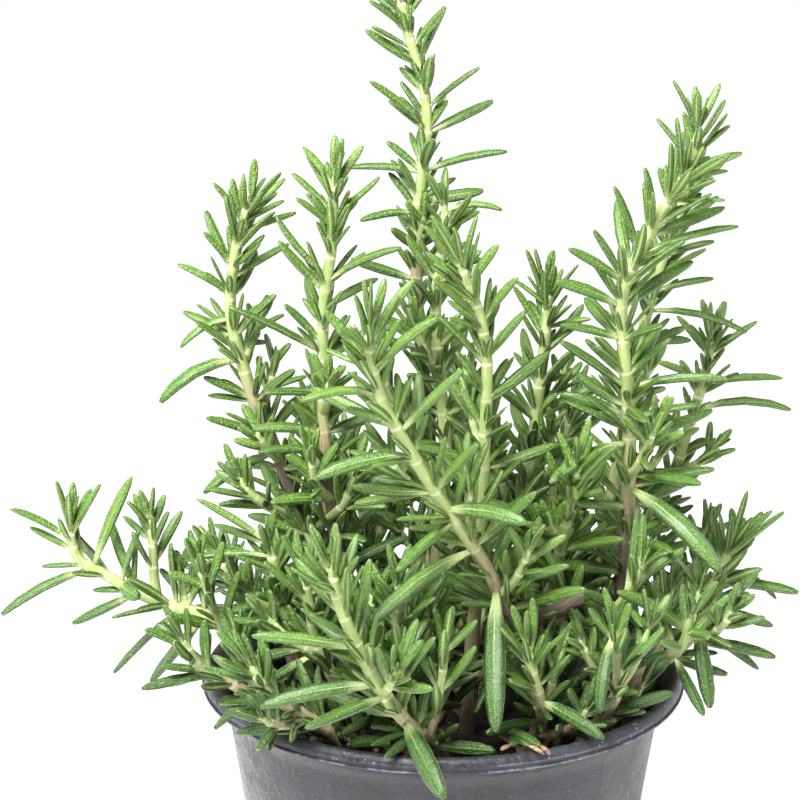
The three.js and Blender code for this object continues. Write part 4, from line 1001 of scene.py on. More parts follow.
class RosemaryPotSettings(bpy.types.PropertyGroup):
    """Form and finish of the nursery pot."""

    edge: size("Edge rounding", "Radius of the pot's rounded edges", 0.0005)
    plastic: colour("Plastic", "Recycled black plastic", (0.008, 0.008, 0.011))
    scuff: colour("Scuffs", "Rubbed and dusty plastic", (0.036, 0.036, 0.047))
    # Painted highlight: the colour of two thin lines along the ridges of the lip.
    ridge_highlight: colour("Ridge highlight", "Lower edge of the lip", (0.14, 0.14, 0.16))
    roughness: share("Roughness", "Roughness of clean plastic", 0.3)


class RosemarySoilSettings(bpy.types.PropertyGroup):
    """Surface of the potting soil."""

    crumbs: amount("Crumbs", "Loose crumbs on the soil", 520)
    fibres: amount("Fibres", "Peat fibres on the soil", 90)
    dry_leaves: amount("Dry leaves", "Fallen leaves", 34)
    peat: colour("Peat", "Damp peat", (0.011, 0.008, 0.006))
    dry_peat: colour("Dry peat", "Dry crumbs and fibres", (0.055, 0.037, 0.025))


class RosemaryStageSettings(bpy.types.PropertyGroup):
    """Floor, lights and camera."""

    floor: colour("Floor", "Pale floor", (0.8, 0.8, 0.8))
    sky: number("Sky", "Strength of the pale surroundings", 0.22)
    key: number("Key light", "Power of the key light", 62)
    fill: number("Fill light", "Power of the fill light", 5)
    rim: number("Rim lights", "Power of each rim light", 5)
    focal: number("Focal length", "In millimetres", 108)
    glow: number("Floor glow", "How brightly the floor shows by itself", 0.95)
    evenness: share("Floor evenness", "How little light and shade show on the floor", 0.88)
    pitch: angle("Pitch", "How far the camera looks down", 15.43)
    place: bpy.props.FloatVectorProperty(
        name="Camera place", description="Where the camera stands", size=3,
        default=(-0.0107, -0.5604, 0.3228), subtype="TRANSLATION", unit="LENGTH")


# ---------------------------------------------------------------- meshes and objects


def mesh_of(shape, name):
    """Turns a shape into a mesh and lets go of the shape."""
    mesh = bpy.data.meshes.new(name)
    shape.to_mesh(mesh)
    shape.free()
    return mesh


def linked(name, data):
    """A new object in the scene."""
    made = bpy.data.objects.new(name, data)
    bpy.context.scene.collection.objects.link(made)
    return made


def finish_piece(shape, name, material, slot, *nodes):
    """Turns a shape in metres into a piece that rides on the plant and stands for solids."""
    mesh = mesh_of(shape, name)
    mesh.materials.append(material)
    piece = linked(name, mesh)
    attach(piece, BODY)
    if nodes:
        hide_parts(*nodes)
    return piece


def gathered(uv_name, meshes=()):
    """A shape with a UV map and the growth of each vertex. It takes in meshes and removes them."""
    shape = bmesh.new()
    shape.loops.layers.uv.new(uv_name)
    shape.verts.layers.float_color.new("growth")
    for mesh in meshes:
        shape.from_mesh(mesh)
        bpy.data.meshes.remove(mesh)
    return shape


def swept(uv_name, rings, tints=None):
    """A closed tube through rings of points, whose vertices know their ring and corner."""
    shape = gathered(uv_name)
    growth = shape.verts.layers.float_color["growth"]
    corner = shape.verts.layers.int.new("corner")
    ring_of = shape.verts.layers.int.new("ring")
    made = bmesh.ops.create_circle(shape, cap_ends=True, segments=len(rings[0]), radius=1)["verts"]
    for i, vert in enumerate(made):
        vert[corner] = i
    cap = made[0].link_faces[0]
    for i, ring in enumerate(rings):
        if i > 0:
            grown = bmesh.ops.extrude_face_region(shape, geom=[cap])["geom"]
            if i > 1:
                bmesh.ops.delete(shape, geom=[cap], context="FACES_ONLY")
            cap = next(part for part in grown if isinstance(part, bmesh.types.BMFace))
        for vert in cap.verts:
            vert.co = ring[vert[corner]]
            vert[ring_of] = i
            if tints:
                vert[growth] = tints[i]
    return shape


def unroll(shape, uv_name, across, heights, cap_across=None):
    """Lays a swept tube out on its UV map: its corners across, and the height of each ring up."""
    corner = shape.verts.layers.int["corner"]
    ring = shape.verts.layers.int["ring"]
    uv_map = shape.loops.layers.uv[uv_name]
    last = len(across) - 2
    for face in shape.faces:
        corners = {vert[corner] for vert in face.verts}
        wraps = {0, last} <= corners
        for loop in face.loops:
            place = across[loop.vert[corner]]
            if cap_across is not None and len(corners) > 2:
                place = cap_across
            elif wraps and loop.vert[corner] == 0:
                place = across[-1]
            loop[uv_map].uv = (place, heights[loop.vert[ring]])


def shade_smoothly(shape):
    for face in shape.faces:
        face.smooth = True


def closed_mesh(shape):
    """A swept shape as a mesh with its faces pointing out and shaded smoothly."""
    bmesh.ops.recalc_face_normals(shape, faces=shape.faces)
    shade_smoothly(shape)
    for name in ("corner", "ring"):
        shape.verts.layers.int.remove(shape.verts.layers.int[name])
    return mesh_of(shape, "part")


def noise_at(x, y, z):
    return noise.noise(Vector((x, y, z)))


def kept_share(value, most=1):
    """A value kept between 0 and the most."""
    return min(most, max(0, value))


def by_cane(grown):
    """Stems or leaves in a list for each cane."""
    lists = defaultdict(list)
    for part in grown:
        lists[part.owner].append(part)
    return lists.items()


# ---------------------------------------------------------------- leaves

# Stations along a blade: share of its length, share of its width.
BLADE_STATIONS = ((0.0, 0.28), (0.1, 0.46), (0.27, 0.84), (0.52, 1.0), (0.78, 0.9),
                  (0.93, 0.6), (1.0, 0.22))
# Its section from the left margin over the top: across, in halves of the width, and up, in
# shares of the thickness.
BLADE_SECTION = ((-1.0, 0.0), (-0.62, 0.42), (0.0, 0.22), (0.62, 0.42),
                 (1.0, 0.0), (0.72, -0.58), (0.0, -0.26), (-0.72, -0.58))
# The same corners as places across the blade: 0 to 1 over the top, 1 to 2 underneath, where
# the last is the first again.
BLADE_ACROSS = (0.0, 0.2, 0.5, 0.8, 1.0, 1.15, 1.5, 1.85, 2.0)
CAP_ACROSS = 0.25      # where the small end faces lie on the UV map
LONGEST_LEAF = 30
YOUNG_BREADTH = 0.82   # of a leaf that has just opened, against a grown one
# Leaves low in the bush count as older from this height down, over this distance, and take the grown
# colour; past full age, up to the most below, they carry a painted shade for the shade under the upper
# leaves.
DARK_BELOW = 172
DARK_WITHIN = 50
DARKEST_PAINTED_SHADE = 1.3
END_THICKNESS = 0.35   # share of a blade's thickness that its narrowest ends keep
HEADING_STEP = 0.05    # share of a leaf's length over which its heading is measured


def blade_template():
    """One blade of unit size, with the station and corner of each of its vertices."""
    heights = [along for along, _ in BLADE_STATIONS]
    shape = swept("blade", [[Vector((x, y, along)) for x, y in BLADE_SECTION] for along in heights])
    unroll(shape, "blade", BLADE_ACROSS, heights, CAP_ACROSS)
    layers = shape.verts.layers.int
    places = [(vert[layers["ring"]], vert[layers["corner"]]) for vert in shape.verts]
    return closed_mesh(shape), places


def add_blade(shape, template, places, leaf, draws, settings):
    """Copies the template into a shape and lays it along a leaf's middle line."""
    first = len(shape.verts)
    shape.from_mesh(template)
    shape.verts.ensure_lookup_table()
    growth = shape.verts.layers.float_color["growth"]
    length = math.dist(leaf.base, leaf.tip)
    chord = unit(minus(leaf.tip, leaf.base))
    sideways = cross(chord, leaf.up)
    roll = -sideways[1] * settings.towards_light + draws.about(0, settings.roll)
    face = turned(leaf.up, sideways, roll)
    sway = length * draws.about(0, settings.sway)
    twist = draws.about(0, settings.twist)
    half = 0.5 * leaf.width * settings.breadth * (YOUNG_BREADTH + (1 - YOUNG_BREADTH) * leaf.age)
    stations = []
    for along, wide in BLADE_STATIONS:
        centre = plus(leaf.line(along), sideways, sway * 4 * along * (1 - along))
        ahead = min(1, along + HEADING_STEP)
        heading = unit(minus(leaf.line(ahead), leaf.line(ahead - 2 * HEADING_STEP)))
        up = squared(face, heading)
        right = cross(heading, up)
        turn = twist * along
        height = 2 * half * settings.thickness * (END_THICKNESS + (1 - END_THICKNESS) * wide)
        stations.append((Vector(centre) * MM, Vector(turned(right, up, turn)) * (half * wide * MM),
                         Vector(turned(up, right, -turn)) * (height * MM)))
    # A low leaf counts as older; past full age it carries a painted shade for the shade under the upper
    # leaves.
    low = kept_share((DARK_BELOW - leaf.tip[2]) / DARK_WITHIN, DARKEST_PAINTED_SHADE)
    tint = (max(leaf.age, low), draws.number(), length / LONGEST_LEAF, 1)
    for vert, (station, corner) in zip(shape.verts[first:], places):
        centre, right, up = stations[station]
        x, y = BLADE_SECTION[corner]
        vert.co = centre + right * x + up * y
        vert[growth] = tint


def build_leaves(settings):
    """The leaves of each cane, as one piece a cane."""
    material = leaf_material(settings)
    template, places = blade_template()
    draws = Draws(FINE_SEED + 1)
    for owner, leaves in by_cane(plant().leaves):
        shape = gathered("blade")
        for leaf in leaves:
            add_blade(shape, template, places, leaf, draws, settings)
        finish_piece(shape, owner + "_leaves", material, "rosemary_leaf", owner)
    bpy.data.meshes.remove(template)


# ---------------------------------------------------------------- stems

STEM_SIDES = 12
STEM_STEP = 1.1
BURIED = 6             # how far down in the soil the wood starts
NODE_REACH = 0.9       # how far along the stem the swelling of a node reaches
RIPE_FROM = 62         # lengths from the tip at which wood begins to form, and is old
RIPE_UP_TO = 150
RIPEST_SHOOT = 0.55
LUMPS = 0.16           # how far old bark rises and falls, as a share of its radius
SOFT_TIP = 5           # the last stretch of a stem is green and thin
TIP_END = 0.3          # share of its thickness that is left at the very tip
CENTIMETRE = 10
# Low shoots are woody too, from this height down, over this distance.
WOODY_BELOW = 118
WOODY_WITHIN = 30
# Canes whose wood begins higher up, with that height.
HIGH_WOOD = {"cane_left_tall": 180, "cane_left_inner": 174, "cane_back_tall": 208,
             "cane_right_tall": 158, "cane_front_bowed": 152}


def node_share(stem, length):
    """How near a length is to a node: from 0 to 1 in its middle."""
    gap = min((abs(length - node[0]) for node in stem.nodes), default=math.inf)
    return math.exp(-((gap / NODE_REACH) ** 2))


def stem_mesh(stem, draws, settings):
    """A stem's squarish section swept along its way, thicker at the nodes."""
    tone = draws.number()
    start = FOOT_DEPTH - BURIED if stem.is_cane else 0
    woody_below = HIGH_WOOD.get(stem.owner, WOODY_BELOW) if stem.is_cane else WOODY_BELOW
    ripest = 1 if stem.is_cane else RIPEST_SHOOT
    count = max(3, round((stem.way.length - start) / STEM_STEP))
    rings, tints, heights = [], [], []
    for i in range(count + 1):
        length = start + (stem.way.length - start) * i / count
        place, _, u, _ = stem.way.frame(length)
        axis = stem.way.smooth_axis(length)
        u = squared(u, axis)
        v = cross(axis, u)
        node = node_share(stem, length)
        to_tip = stem.way.length - length
        ripe = kept_share((to_tip - RIPE_FROM) / (RIPE_UP_TO - RIPE_FROM))
        ripe = max(ripe, min(ripest, (woody_below - place[2]) / WOODY_WITHIN))
        closing = min(1, TIP_END + to_tip / SOFT_TIP)
        ring = []
        for j in range(STEM_SIDES):
            around = 2 * math.pi * j / STEM_SIDES
            square = 1 + settings.squareness * math.cos(4 * around)
            bark = noise_at(2 * math.cos(around), 2 * math.sin(around), 0.3 * length)
            radius = (stem.radius_at(length) * square * (1 + LUMPS * ripe * bark)
                      * (1 + settings.swelling * node) * closing)
            ring.append(Vector(plus(place, turned(u, v, around), radius)) * MM)
        rings.append(ring)
        soft = max(0, 1 - to_tip / SOFT_TIP)
        tints.append((ripe - 0.5 * soft, tone, node, 1))
        heights.append((length - start) / CENTIMETRE)
    shape = swept("bark", rings, tints)
    unroll(shape, "bark", [j / STEM_SIDES for j in range(STEM_SIDES + 1)], heights)
    return closed_mesh(shape)


def build_stems(settings):
    """The canes with their shoots, as one piece a cane."""
    material = stem_material(settings)
    draws = Draws(FINE_SEED + 2)
    for owner, stems in by_cane(plant().stems + plant().shoots):
        shape = gathered("bark", [stem_mesh(stem, draws, settings) for stem in stems])
        finish_piece(shape, owner + "_wood", material, "rosemary_stem", owner)


# ---------------------------------------------------------------- pot

POT_STEPS = 144
DRAIN_HOLES = 8
DRAIN_RADIUS = 3
DRAIN_CIRCLE = 27
DRILL_SIDES = 24
POT_FLOOR = 2
LIP_BAND = 4
SHARP = math.radians(40)   # edges that are sharper than this stay so


def pot_profile():
    """Radius and height along the pot's section: up the outside, over the lip, down inside."""
    lip_bottom = POT_HEIGHT - LIP_BAND
    return (
        (0, 0), (BASE_RADIUS - 1.2, 0), (BASE_RADIUS, 1.2),
        (BODY_TOP_RADIUS, BODY_TOP), (BODY_TOP_RADIUS + 0.3, BODY_TOP + 1.8),
        (BODY_TOP_RADIUS + 1.1, BODY_TOP + 3.7), (BODY_TOP_RADIUS + 2.6, BODY_TOP + 5.4),
        (BODY_TOP_RADIUS + 4.6, lip_bottom + 0.1), (RIM_RADIUS - 0.75, lip_bottom + 0.55),
        (RIM_RADIUS - 0.1, lip_bottom + 0.7), (RIM_RADIUS, lip_bottom + 0.95),
        (RIM_RADIUS - 0.1, lip_bottom + 1.2), (RIM_RADIUS - 0.5, lip_bottom + 1.35),
        (RIM_RADIUS - 0.5, lip_bottom + 1.55), (RIM_RADIUS - 0.65, POT_HEIGHT - 1.5),
        (RIM_RADIUS - 1.1, POT_HEIGHT - 0.6), (RIM_RADIUS - 1.8, POT_HEIGHT - 0.1),
        (RIM_RADIUS - 2.5, POT_HEIGHT), (RIM_INNER_RADIUS + 0.3, POT_HEIGHT - 0.3),
        (RIM_INNER_RADIUS - 0.3, POT_HEIGHT - 1.2), (BODY_TOP_RADIUS + 0.6, POT_HEIGHT - 3.8),
        (BODY_TOP_RADIUS - WALL + 0.4, BODY_TOP + 3.2), (BODY_TOP_RADIUS - WALL, BODY_TOP - 0.4),
        (body_radius(POT_FLOOR) - WALL, POT_FLOOR), (0, POT_FLOOR),
    )


def spun(profile, steps):
    """A closed shape turned from a section whose ends lie on the axis."""
    shape = bmesh.new()
    verts = [shape.verts.new((radius * MM, 0, height * MM)) for radius, height in profile]
    edges = [shape.edges.new(pair) for pair in zip(verts, verts[1:])]
    bmesh.ops.spin(shape, geom=verts + edges, cent=(0, 0, 0), axis=(0, 0, 1),
                   angle=2 * math.pi, steps=steps, use_merge=True)
    bmesh.ops.remove_doubles(shape, verts=shape.verts, dist=1e-6)
    bmesh.ops.recalc_face_normals(shape, faces=shape.faces)
    return shape


def drilled(shape):
    """The pot's shape with the drain holes cut through its floor."""
    drills = bmesh.new()
    for i in range(DRAIN_HOLES):
        angle = 2 * math.pi * i / DRAIN_HOLES
        place = Matrix.Translation((DRAIN_CIRCLE * MM * math.cos(angle),
                                    DRAIN_CIRCLE * MM * math.sin(angle), 0))
        bmesh.ops.create_cone(drills, cap_ends=True, segments=DRILL_SIDES, radius1=DRAIN_RADIUS * MM,
                              radius2=DRAIN_RADIUS * MM, depth=4 * POT_FLOOR * MM, matrix=place)
    pot = linked("undrilled", mesh_of(shape, "undrilled"))
    drill = linked("drills", mesh_of(drills, "drills"))
    cut = pot.modifiers.new("Drain holes", "BOOLEAN")
    cut.object = drill
    cut.operation = "DIFFERENCE"
    cut.solver = "EXACT"
    bpy.context.view_layer.update()
    cut_pot = pot.evaluated_get(bpy.context.evaluated_depsgraph_get())
    shape = bmesh.new()
    shape.from_mesh(cut_pot.to_mesh())
    for mesh in (pot.data, drill.data):   # their objects go with them
        bpy.data.meshes.remove(mesh)
    return shape


def build_pot(settings):
    """The nursery pot, turned from its section, with rounded edges and drain holes."""
    shape = drilled(spun(pot_profile(), POT_STEPS))
    shade_smoothly(shape)
    for edge in shape.edges:
        edge.smooth = edge.calc_face_angle(0) < SHARP
    piece = finish_piece(shape, "nursery_pot", pot_material(settings), "pot_plastic", "pot")
    rounding = piece.modifiers.new("Rounded edges", "BEVEL")
    rounding.limit_method = "ANGLE"
    rounding.angle_limit = SHARP
    rounding.width = settings.edge
    rounding.segments = 2
    rounding.use_clamp_overlap = True


# ---------------------------------------------------------------- soil

SOIL_STEPS = 96
SOIL_RING = 1.6
SOIL_ROOM = 0.3        # kept between the soil and the pot
SOIL_TOP_RADIUS = body_radius(SOIL_LEVEL) - WALL - SOIL_ROOM
SOIL_EDGE_DROP = 1     # the surface sinks by this at the wall
SOIL_EDGE_WIDTH = 3
CRUMB_SIZES = (0.5, 2.1)
CRUMB_SMALLEST = 0.4   # share of a size drawn that a crumb has at least
CRUMB_FLATNESS = (0.6, 1.1)
CRUMB_HEIGHT = 0.7
CRUMB_ROUGHNESS = 0.35
FIBRE_LENGTHS = (6, 17)
FIBRE_RADIUS = 0.14
FIBRE_STEPS = 8
FIBRE_SIDES = 4
FIBRE_FEWEST_RINGS = 4
FIBRE_START_ROOM = 10  # from the wall to a fibre's start, and to the rest of it
FIBRE_WALL_ROOM = 1.5
FIBRE_LIFT = 0.35
FIBRE_ARCH = 0.5
FIBRE_BEND = 0.4
FALLEN_START_ROOM = 12
FALLEN_WALL_ROOM = 2
FALLEN_LENGTHS = (8, 17)
FALLEN_WIDTHS = (1.3, 2)
FALLEN_ARCHES = (0.4, 1.6)
FALLEN_LIFTS = (0.8, 1)   # of the foot and of the tip


def soil_height(x, y):
    """Height of the soil's surface: its slow swells, with lumps and grains."""
    swell = SOIL_BUMP * (0.5 * math.sin(0.21 * x + 1.3) * math.cos(0.17 * y)
                         + 0.35 * math.sin(0.4 * y + 0.23 * x))
    lumps = 0.9 * noise_at(0.16 * x, 0.16 * y, 3)
    grains = 0.55 * noise_at(0.55 * x, 0.55 * y, 7)
    return SOIL_LEVEL + swell + lumps + grains


def build_soil(settings):
    """The soil that fills the pot, with a crumbly surface."""
    rings = round(SOIL_TOP_RADIUS / SOIL_RING)
    top = [(SOIL_TOP_RADIUS * i / rings, SOIL_LEVEL) for i in range(rings + 1)]
    bottom = POT_FLOOR + SOIL_ROOM
    side = [(body_radius(bottom) - WALL - SOIL_ROOM, bottom), (0, bottom)]
    shape = spun(top + side, SOIL_STEPS)
    lowest = SOIL_LEVEL - SOIL_EDGE_DROP
    for vert in shape.verts:
        x, y, z = vert.co / MM
        if z > lowest:
            off_wall = kept_share((SOIL_TOP_RADIUS - math.hypot(x, y)) / SOIL_EDGE_WIDTH)
            vert.co.z = (lowest + (soil_height(x, y) - lowest) * off_wall) * MM
    shade_smoothly(shape)
    material = soil_material(settings)
    finish_piece(shape, "potting_soil", material, "potting_soil", "soil")
    scatter_crumbs(settings, material)
    scatter_fibres(settings, material)
    scatter_dry_leaves(settings)


def place_on_soil(draws, margin):
    """A random place on the soil, away from the wall by a margin."""
    reach = (SOIL_TOP_RADIUS - margin) * math.sqrt(draws.number())
    angle = draws.between(0, 2 * math.pi)
    x, y = reach * math.cos(angle), reach * math.sin(angle)
    return x, y, soil_height(x, y)


def scatter_crumbs(settings, material):
    """Loose crumbs of peat, half sunk into the surface."""
    draws = Draws(FINE_SEED + 3)
    shape = bmesh.new()
    for _ in range(settings.crumbs):
        big = draws.between(*CRUMB_SIZES) * (CRUMB_SMALLEST + (1 - CRUMB_SMALLEST) * draws.number())
        x, y, z = place_on_soil(draws, 2 + big)
        turn = Matrix.Rotation(draws.between(0, 6), 4, Vector((draws.number(), draws.number(), 1)))
        across = [draws.between(*CRUMB_FLATNESS) for _ in "xy"]
        flat = Matrix.Diagonal((*across, CRUMB_HEIGHT, 1))
        place = Matrix.Translation((x * MM, y * MM, z * MM)) @ flat @ turn
        made = bmesh.ops.create_icosphere(shape, subdivisions=1, radius=big * MM, matrix=place)
        for vert in made["verts"]:
            push = CRUMB_ROUGHNESS * big * MM * noise.noise(vert.co / MM * 1.1)
            vert.co += push * (vert.co - place.translation).normalized()
    finish_piece(shape, "soil_crumbs", material, "potting_soil")


def scatter_fibres(settings, material):
    """Peat fibres and root hairs that lie on the surface."""
    draws = Draws(FINE_SEED + 4)
    meshes = []
    for _ in range(settings.fibres):
        x, y, _ = place_on_soil(draws, FIBRE_START_ROOM)
        heading = draws.between(0, 2 * math.pi)
        length = draws.between(*FIBRE_LENGTHS)
        rings = []
        for i in range(FIBRE_STEPS + 1):
            across = (-math.sin(heading), math.cos(heading), 0)
            lift = FIBRE_LIFT + FIBRE_ARCH * math.sin(math.pi * i / FIBRE_STEPS)
            centre = (x, y, soil_height(x, y) + lift)
            corners = [turned(across, UPWARD, 2 * math.pi * j / FIBRE_SIDES) for j in range(FIBRE_SIDES)]
            rings.append([Vector(plus(centre, corner, FIBRE_RADIUS)) * MM for corner in corners])
            x += math.cos(heading) * length / FIBRE_STEPS
            y += math.sin(heading) * length / FIBRE_STEPS
            if math.hypot(x, y) > SOIL_TOP_RADIUS - FIBRE_WALL_ROOM:
                break
            heading += draws.about(0, FIBRE_BEND)
        if len(rings) >= FIBRE_FEWEST_RINGS:
            meshes.append(closed_mesh(swept("bark", rings)))
    finish_piece(gathered("bark", meshes), "soil_fibres", material, "potting_soil")


def scatter_dry_leaves(settings):
    """Fallen leaves, brown and curled, on the soil, and the dry ends of those on the lip."""
    draws = Draws(FINE_SEED + 5)
    form = bpy.context.scene.rosemary_leaf
    template, places = blade_template()
    shape = gathered("blade")
    foot_lift, tip_lift = FALLEN_LIFTS
    for _ in range(settings.dry_leaves):
        base = place_on_soil(draws, FALLEN_START_ROOM)
        heading = draws.between(0, 2 * math.pi)
        x, y, _ = plus(base, (math.cos(heading), math.sin(heading), 0), draws.between(*FALLEN_LENGTHS))
        if math.hypot(x, y) <= SOIL_TOP_RADIUS - FALLEN_WALL_ROOM:
            tip = (x, y, soil_height(x, y) + tip_lift)
            width = draws.between(*FALLEN_WIDTHS)
            arch = times(UPWARD, draws.between(*FALLEN_ARCHES))
            leaf = Leaf("soil", plus(base, UPWARD, foot_lift), tip, width, UPWARD, arch)
            add_blade(shape, template, places, leaf, draws, form)
    for _, torn, end in TORN_LEAVES:
        leaf = Leaf("soil", torn, end, TORN_END_WIDTH, UPWARD, times(UPWARD, TORN_END_ARCH))
        add_blade(shape, template, places, leaf, draws, form)
    bpy.data.meshes.remove(template)
    finish_piece(shape, "dry_leaves", dry_leaf_material(settings), "rosemary_leaf")

# ---------------------------------------------------------------- materials


def reckoning(operation):
    """What a wire does with another value: a Math node of one operation."""
    return lambda wire, other: wire.nodes.math(operation, wire, other)


class Wire:
    """A node's output that is reckoned with like a number: each sum adds a Math node."""

    __add__ = reckoning("ADD")
    __sub__ = reckoning("SUBTRACT")
    __mul__ = reckoning("MULTIPLY")
    __truediv__ = reckoning("DIVIDE")
    __pow__ = reckoning("POWER")
    __gt__ = reckoning("GREATER_THAN")
    __lt__ = reckoning("LESS_THAN")

    def __init__(self, nodes, socket):
        self.nodes = nodes
        self.socket = socket

    def __rsub__(self, other):
        return self.nodes.math("SUBTRACT", other, self)

    def kept(self):
        """The same sum, kept between 0 and 1."""
        self.socket.node.use_clamp = True
        return self

    def beside(self, output):
        """Another output of the same node."""
        return Wire(self.nodes, self.socket.node.outputs[output])


class Nodes:
    """Adds nodes to a tree. A number, a colour or another node's output may feed any input."""

    def __init__(self, tree):
        self.tree = tree

    def feed(self, socket, value):
        if isinstance(value, Wire):
            self.tree.links.new(value.socket, socket)
        elif hasattr(socket.default_value, "__len__") and len(socket.default_value) == 4:
            socket.default_value = (*value[:3], 1)
        else:
            socket.default_value = value

    def add(self, kind, output=0, inputs=(), **settings):
        """Adds a node, feeds its inputs and gives one of its outputs."""
        node = self.tree.nodes.new(kind)
        for name, value in settings.items():
            setattr(node, name, value)
        for key, value in dict(inputs).items():
            self.feed(node.inputs[key], value)
        return Wire(self, node.outputs[output])

    def math(self, operation, *values):
        return self.add("ShaderNodeMath", 0, enumerate(values), operation=operation)

    def blend(self, share, first, second, kind="MIX"):
        """Two colours mixed. The Mix node's sockets go by number, because their names repeat."""
        inputs = {0: share, 6: first, 7: second}
        return self.add("ShaderNodeMix", 2, inputs, data_type="RGBA", blend_type=kind)

    def laid_over(self, colour, *layers):
        """A colour with others over it, each after the share that it covers."""
        for share, over in layers:
            colour = self.blend(share, colour, over)
        return colour

    def step(self, value, low, high):
        """A smooth step from 0 to 1, or from 1 to 0 where low is above high."""
        rising = low < high
        inputs = {"Value": value, "From Min": min(low, high), "From Max": max(low, high),
                  "To Min": 0.0 if rising else 1.0, "To Max": 1.0 if rising else 0.0}
        return self.add("ShaderNodeMapRange", 0, inputs, interpolation_type="SMOOTHSTEP")

    def between(self, value, rise, fall):
        """1 between a step up and a step down."""
        return self.step(value, *rise) * self.step(value, *fall)

    def noise(self, place, scale, detail, distortion=0.0):
        inputs = {"Vector": place, "Scale": scale, "Detail": detail, "Distortion": distortion}
        return self.add("ShaderNodeTexNoise", 0, inputs)

    def stretched(self, place, scale):
        """A place with each of its directions scaled."""
        return self.add("ShaderNodeMapping", 0, {"Vector": place, "Scale": scale})

    def joined(self, x, y, z):
        return self.add("ShaderNodeCombineXYZ", 0, {"X": x, "Y": y, "Z": z})

    def split(self, vector):
        """The three parts of a vector or a colour."""
        x = self.add("ShaderNodeSeparateXYZ", "X", {"Vector": vector})
        return x, x.beside("Y"), x.beside("Z")

    def place(self):
        return self.add("ShaderNodeTexCoord", "Object")

    def laid_out(self, uv_name):
        """The two directions of a piece's UV map."""
        return self.split(self.add("ShaderNodeUVMap", uv_map=uv_name))[:2]

    def growth(self):
        """The three numbers that each vertex carries."""
        return self.split(self.add("ShaderNodeAttribute", "Vector", attribute_name="growth"))

    def group(self, tree, place, **inputs):
        return self.add("ShaderNodeGroup", 0, {"Place": place, **inputs}, node_tree=tree)

    def bump(self, height, depth, strength=1.0):
        """A normal from a height, whose full range stands for a depth in metres."""
        inputs = {"Height": height, "Distance": depth, "Strength": strength}
        return self.add("ShaderNodeBump", 0, inputs)


def new_material(name):
    """A material and the nodes that add to it."""
    material = bpy.data.materials.new(name)
    material.use_nodes = True
    return material, Nodes(material.node_tree)


def finished(material, nodes, **inputs):
    """The material, once the inputs of its Principled shader are fed."""
    shader = next(node for node in nodes.tree.nodes if node.type == "BSDF_PRINCIPLED")
    for name, value in inputs.items():
        nodes.feed(shader.inputs[name.replace("_", " ")], value)
    return material


def new_group(name, output, **inputs):
    """A shader group with a place, float inputs and one output."""
    tree = bpy.data.node_groups.new(name, "ShaderNodeTree")
    tree.interface.new_socket("Place", in_out="INPUT", socket_type="NodeSocketVector")
    for label, value in inputs.items():
        socket = tree.interface.new_socket(label, in_out="INPUT", socket_type="NodeSocketFloat")
        socket.default_value = value
    tree.interface.new_socket(output, in_out="OUTPUT", socket_type="NodeSocketFloat")
    given = tree.nodes.new("NodeGroupInput").outputs
    result = tree.nodes.new("NodeGroupOutput").inputs[0]
    nodes = Nodes(tree)
    return tree, nodes, [Wire(nodes, given[label]) for label in ("Place", *inputs)], result


@functools.cache
def mottle():
    """Soft blotches: a coarse and a fine noise, as a value about one half."""
    tree, nodes, given, result = new_group("mottle", "Value", Scale=100, Contrast=1)
    place, scale, contrast = given
    mixed = nodes.noise(place, scale, 3) * 0.62 + nodes.noise(place, scale * 4.3, 2) * 0.38
    nodes.feed(result, ((mixed - 0.5) * contrast + 0.5).kept())
    return tree


@functools.cache
def specks():
    """Small pale grains: a mask of spots in some of the cells of a grid."""
    tree, nodes, given, result = new_group("specks", "Mask", Scale=800, Share=0.15, Radius=0.3)
    place, scale, chosen_share, radius = given
    away = nodes.add("ShaderNodeTexVoronoi", "Distance", {"Vector": place, "Scale": scale})
    chance = nodes.split(away.beside("Color"))[0]
    inside = ((1 - away / radius) * 2.5).kept()
    nodes.feed(result, (inside * (chance < chosen_share)).kept())
    return tree


# Colours of the small marks on each finish. The main colours are settings.
WHITE = (1, 1, 1)
BLACK = (0, 0, 0)
LEAF_SHEEN = (1, 1, 0.7)
# Pale dots of the leaves: partly real oil glands and hairs, partly painted glints.
OIL_DOTS_AND_GLINTS = (0.62, 0.74, 0.42)
BARK_CRACKS = (0.05, 0.03, 0.02)
BARK_STREAKS = (0.52, 0.50, 0.33)
DUST = (0.62, 0.62, 0.64)
SPLASHED_SOIL = (0.11, 0.075, 0.05)
PALE_GRAINS = (0.42, 0.36, 0.27)
DRY_TOP = ((0.16, 0.075, 0.035), (0.34, 0.24, 0.13))
DRY_BELOW = ((0.34, 0.22, 0.12), (0.55, 0.42, 0.24))
DRY_BLOTCHES = (0.05, 0.025, 0.015)


def below_rim(*drops):
    """Heights on the pot, in metres, at millimetres below its rim."""
    return tuple((POT_HEIGHT - drop) * MM for drop in drops)


# Where the marks lie on the pot: the heights from which and to which each of them fades.
FOOT_SCUFFS = (30 * MM, 0)
LIP_BAND_EDGE = below_rim(7, 3)
# The two thin lines are painted highlights along the ridges of the lip.
LOWER_RIDGE_HIGHLIGHT = (below_rim(3.4, 3.1), below_rim(2.7, 3.0))
UPPER_RIDGE_HIGHLIGHT = (below_rim(2.1, 1.9), below_rim(1.5, 1.8))
SPLASH_EDGE = below_rim(13, 11)
# The lip's inside lies within this radius at the height of the pot's foot, plus the slope
# times the height.
INSIDE_RADIUS = 13.1 * MM
INSIDE_SLOPE = 0.445


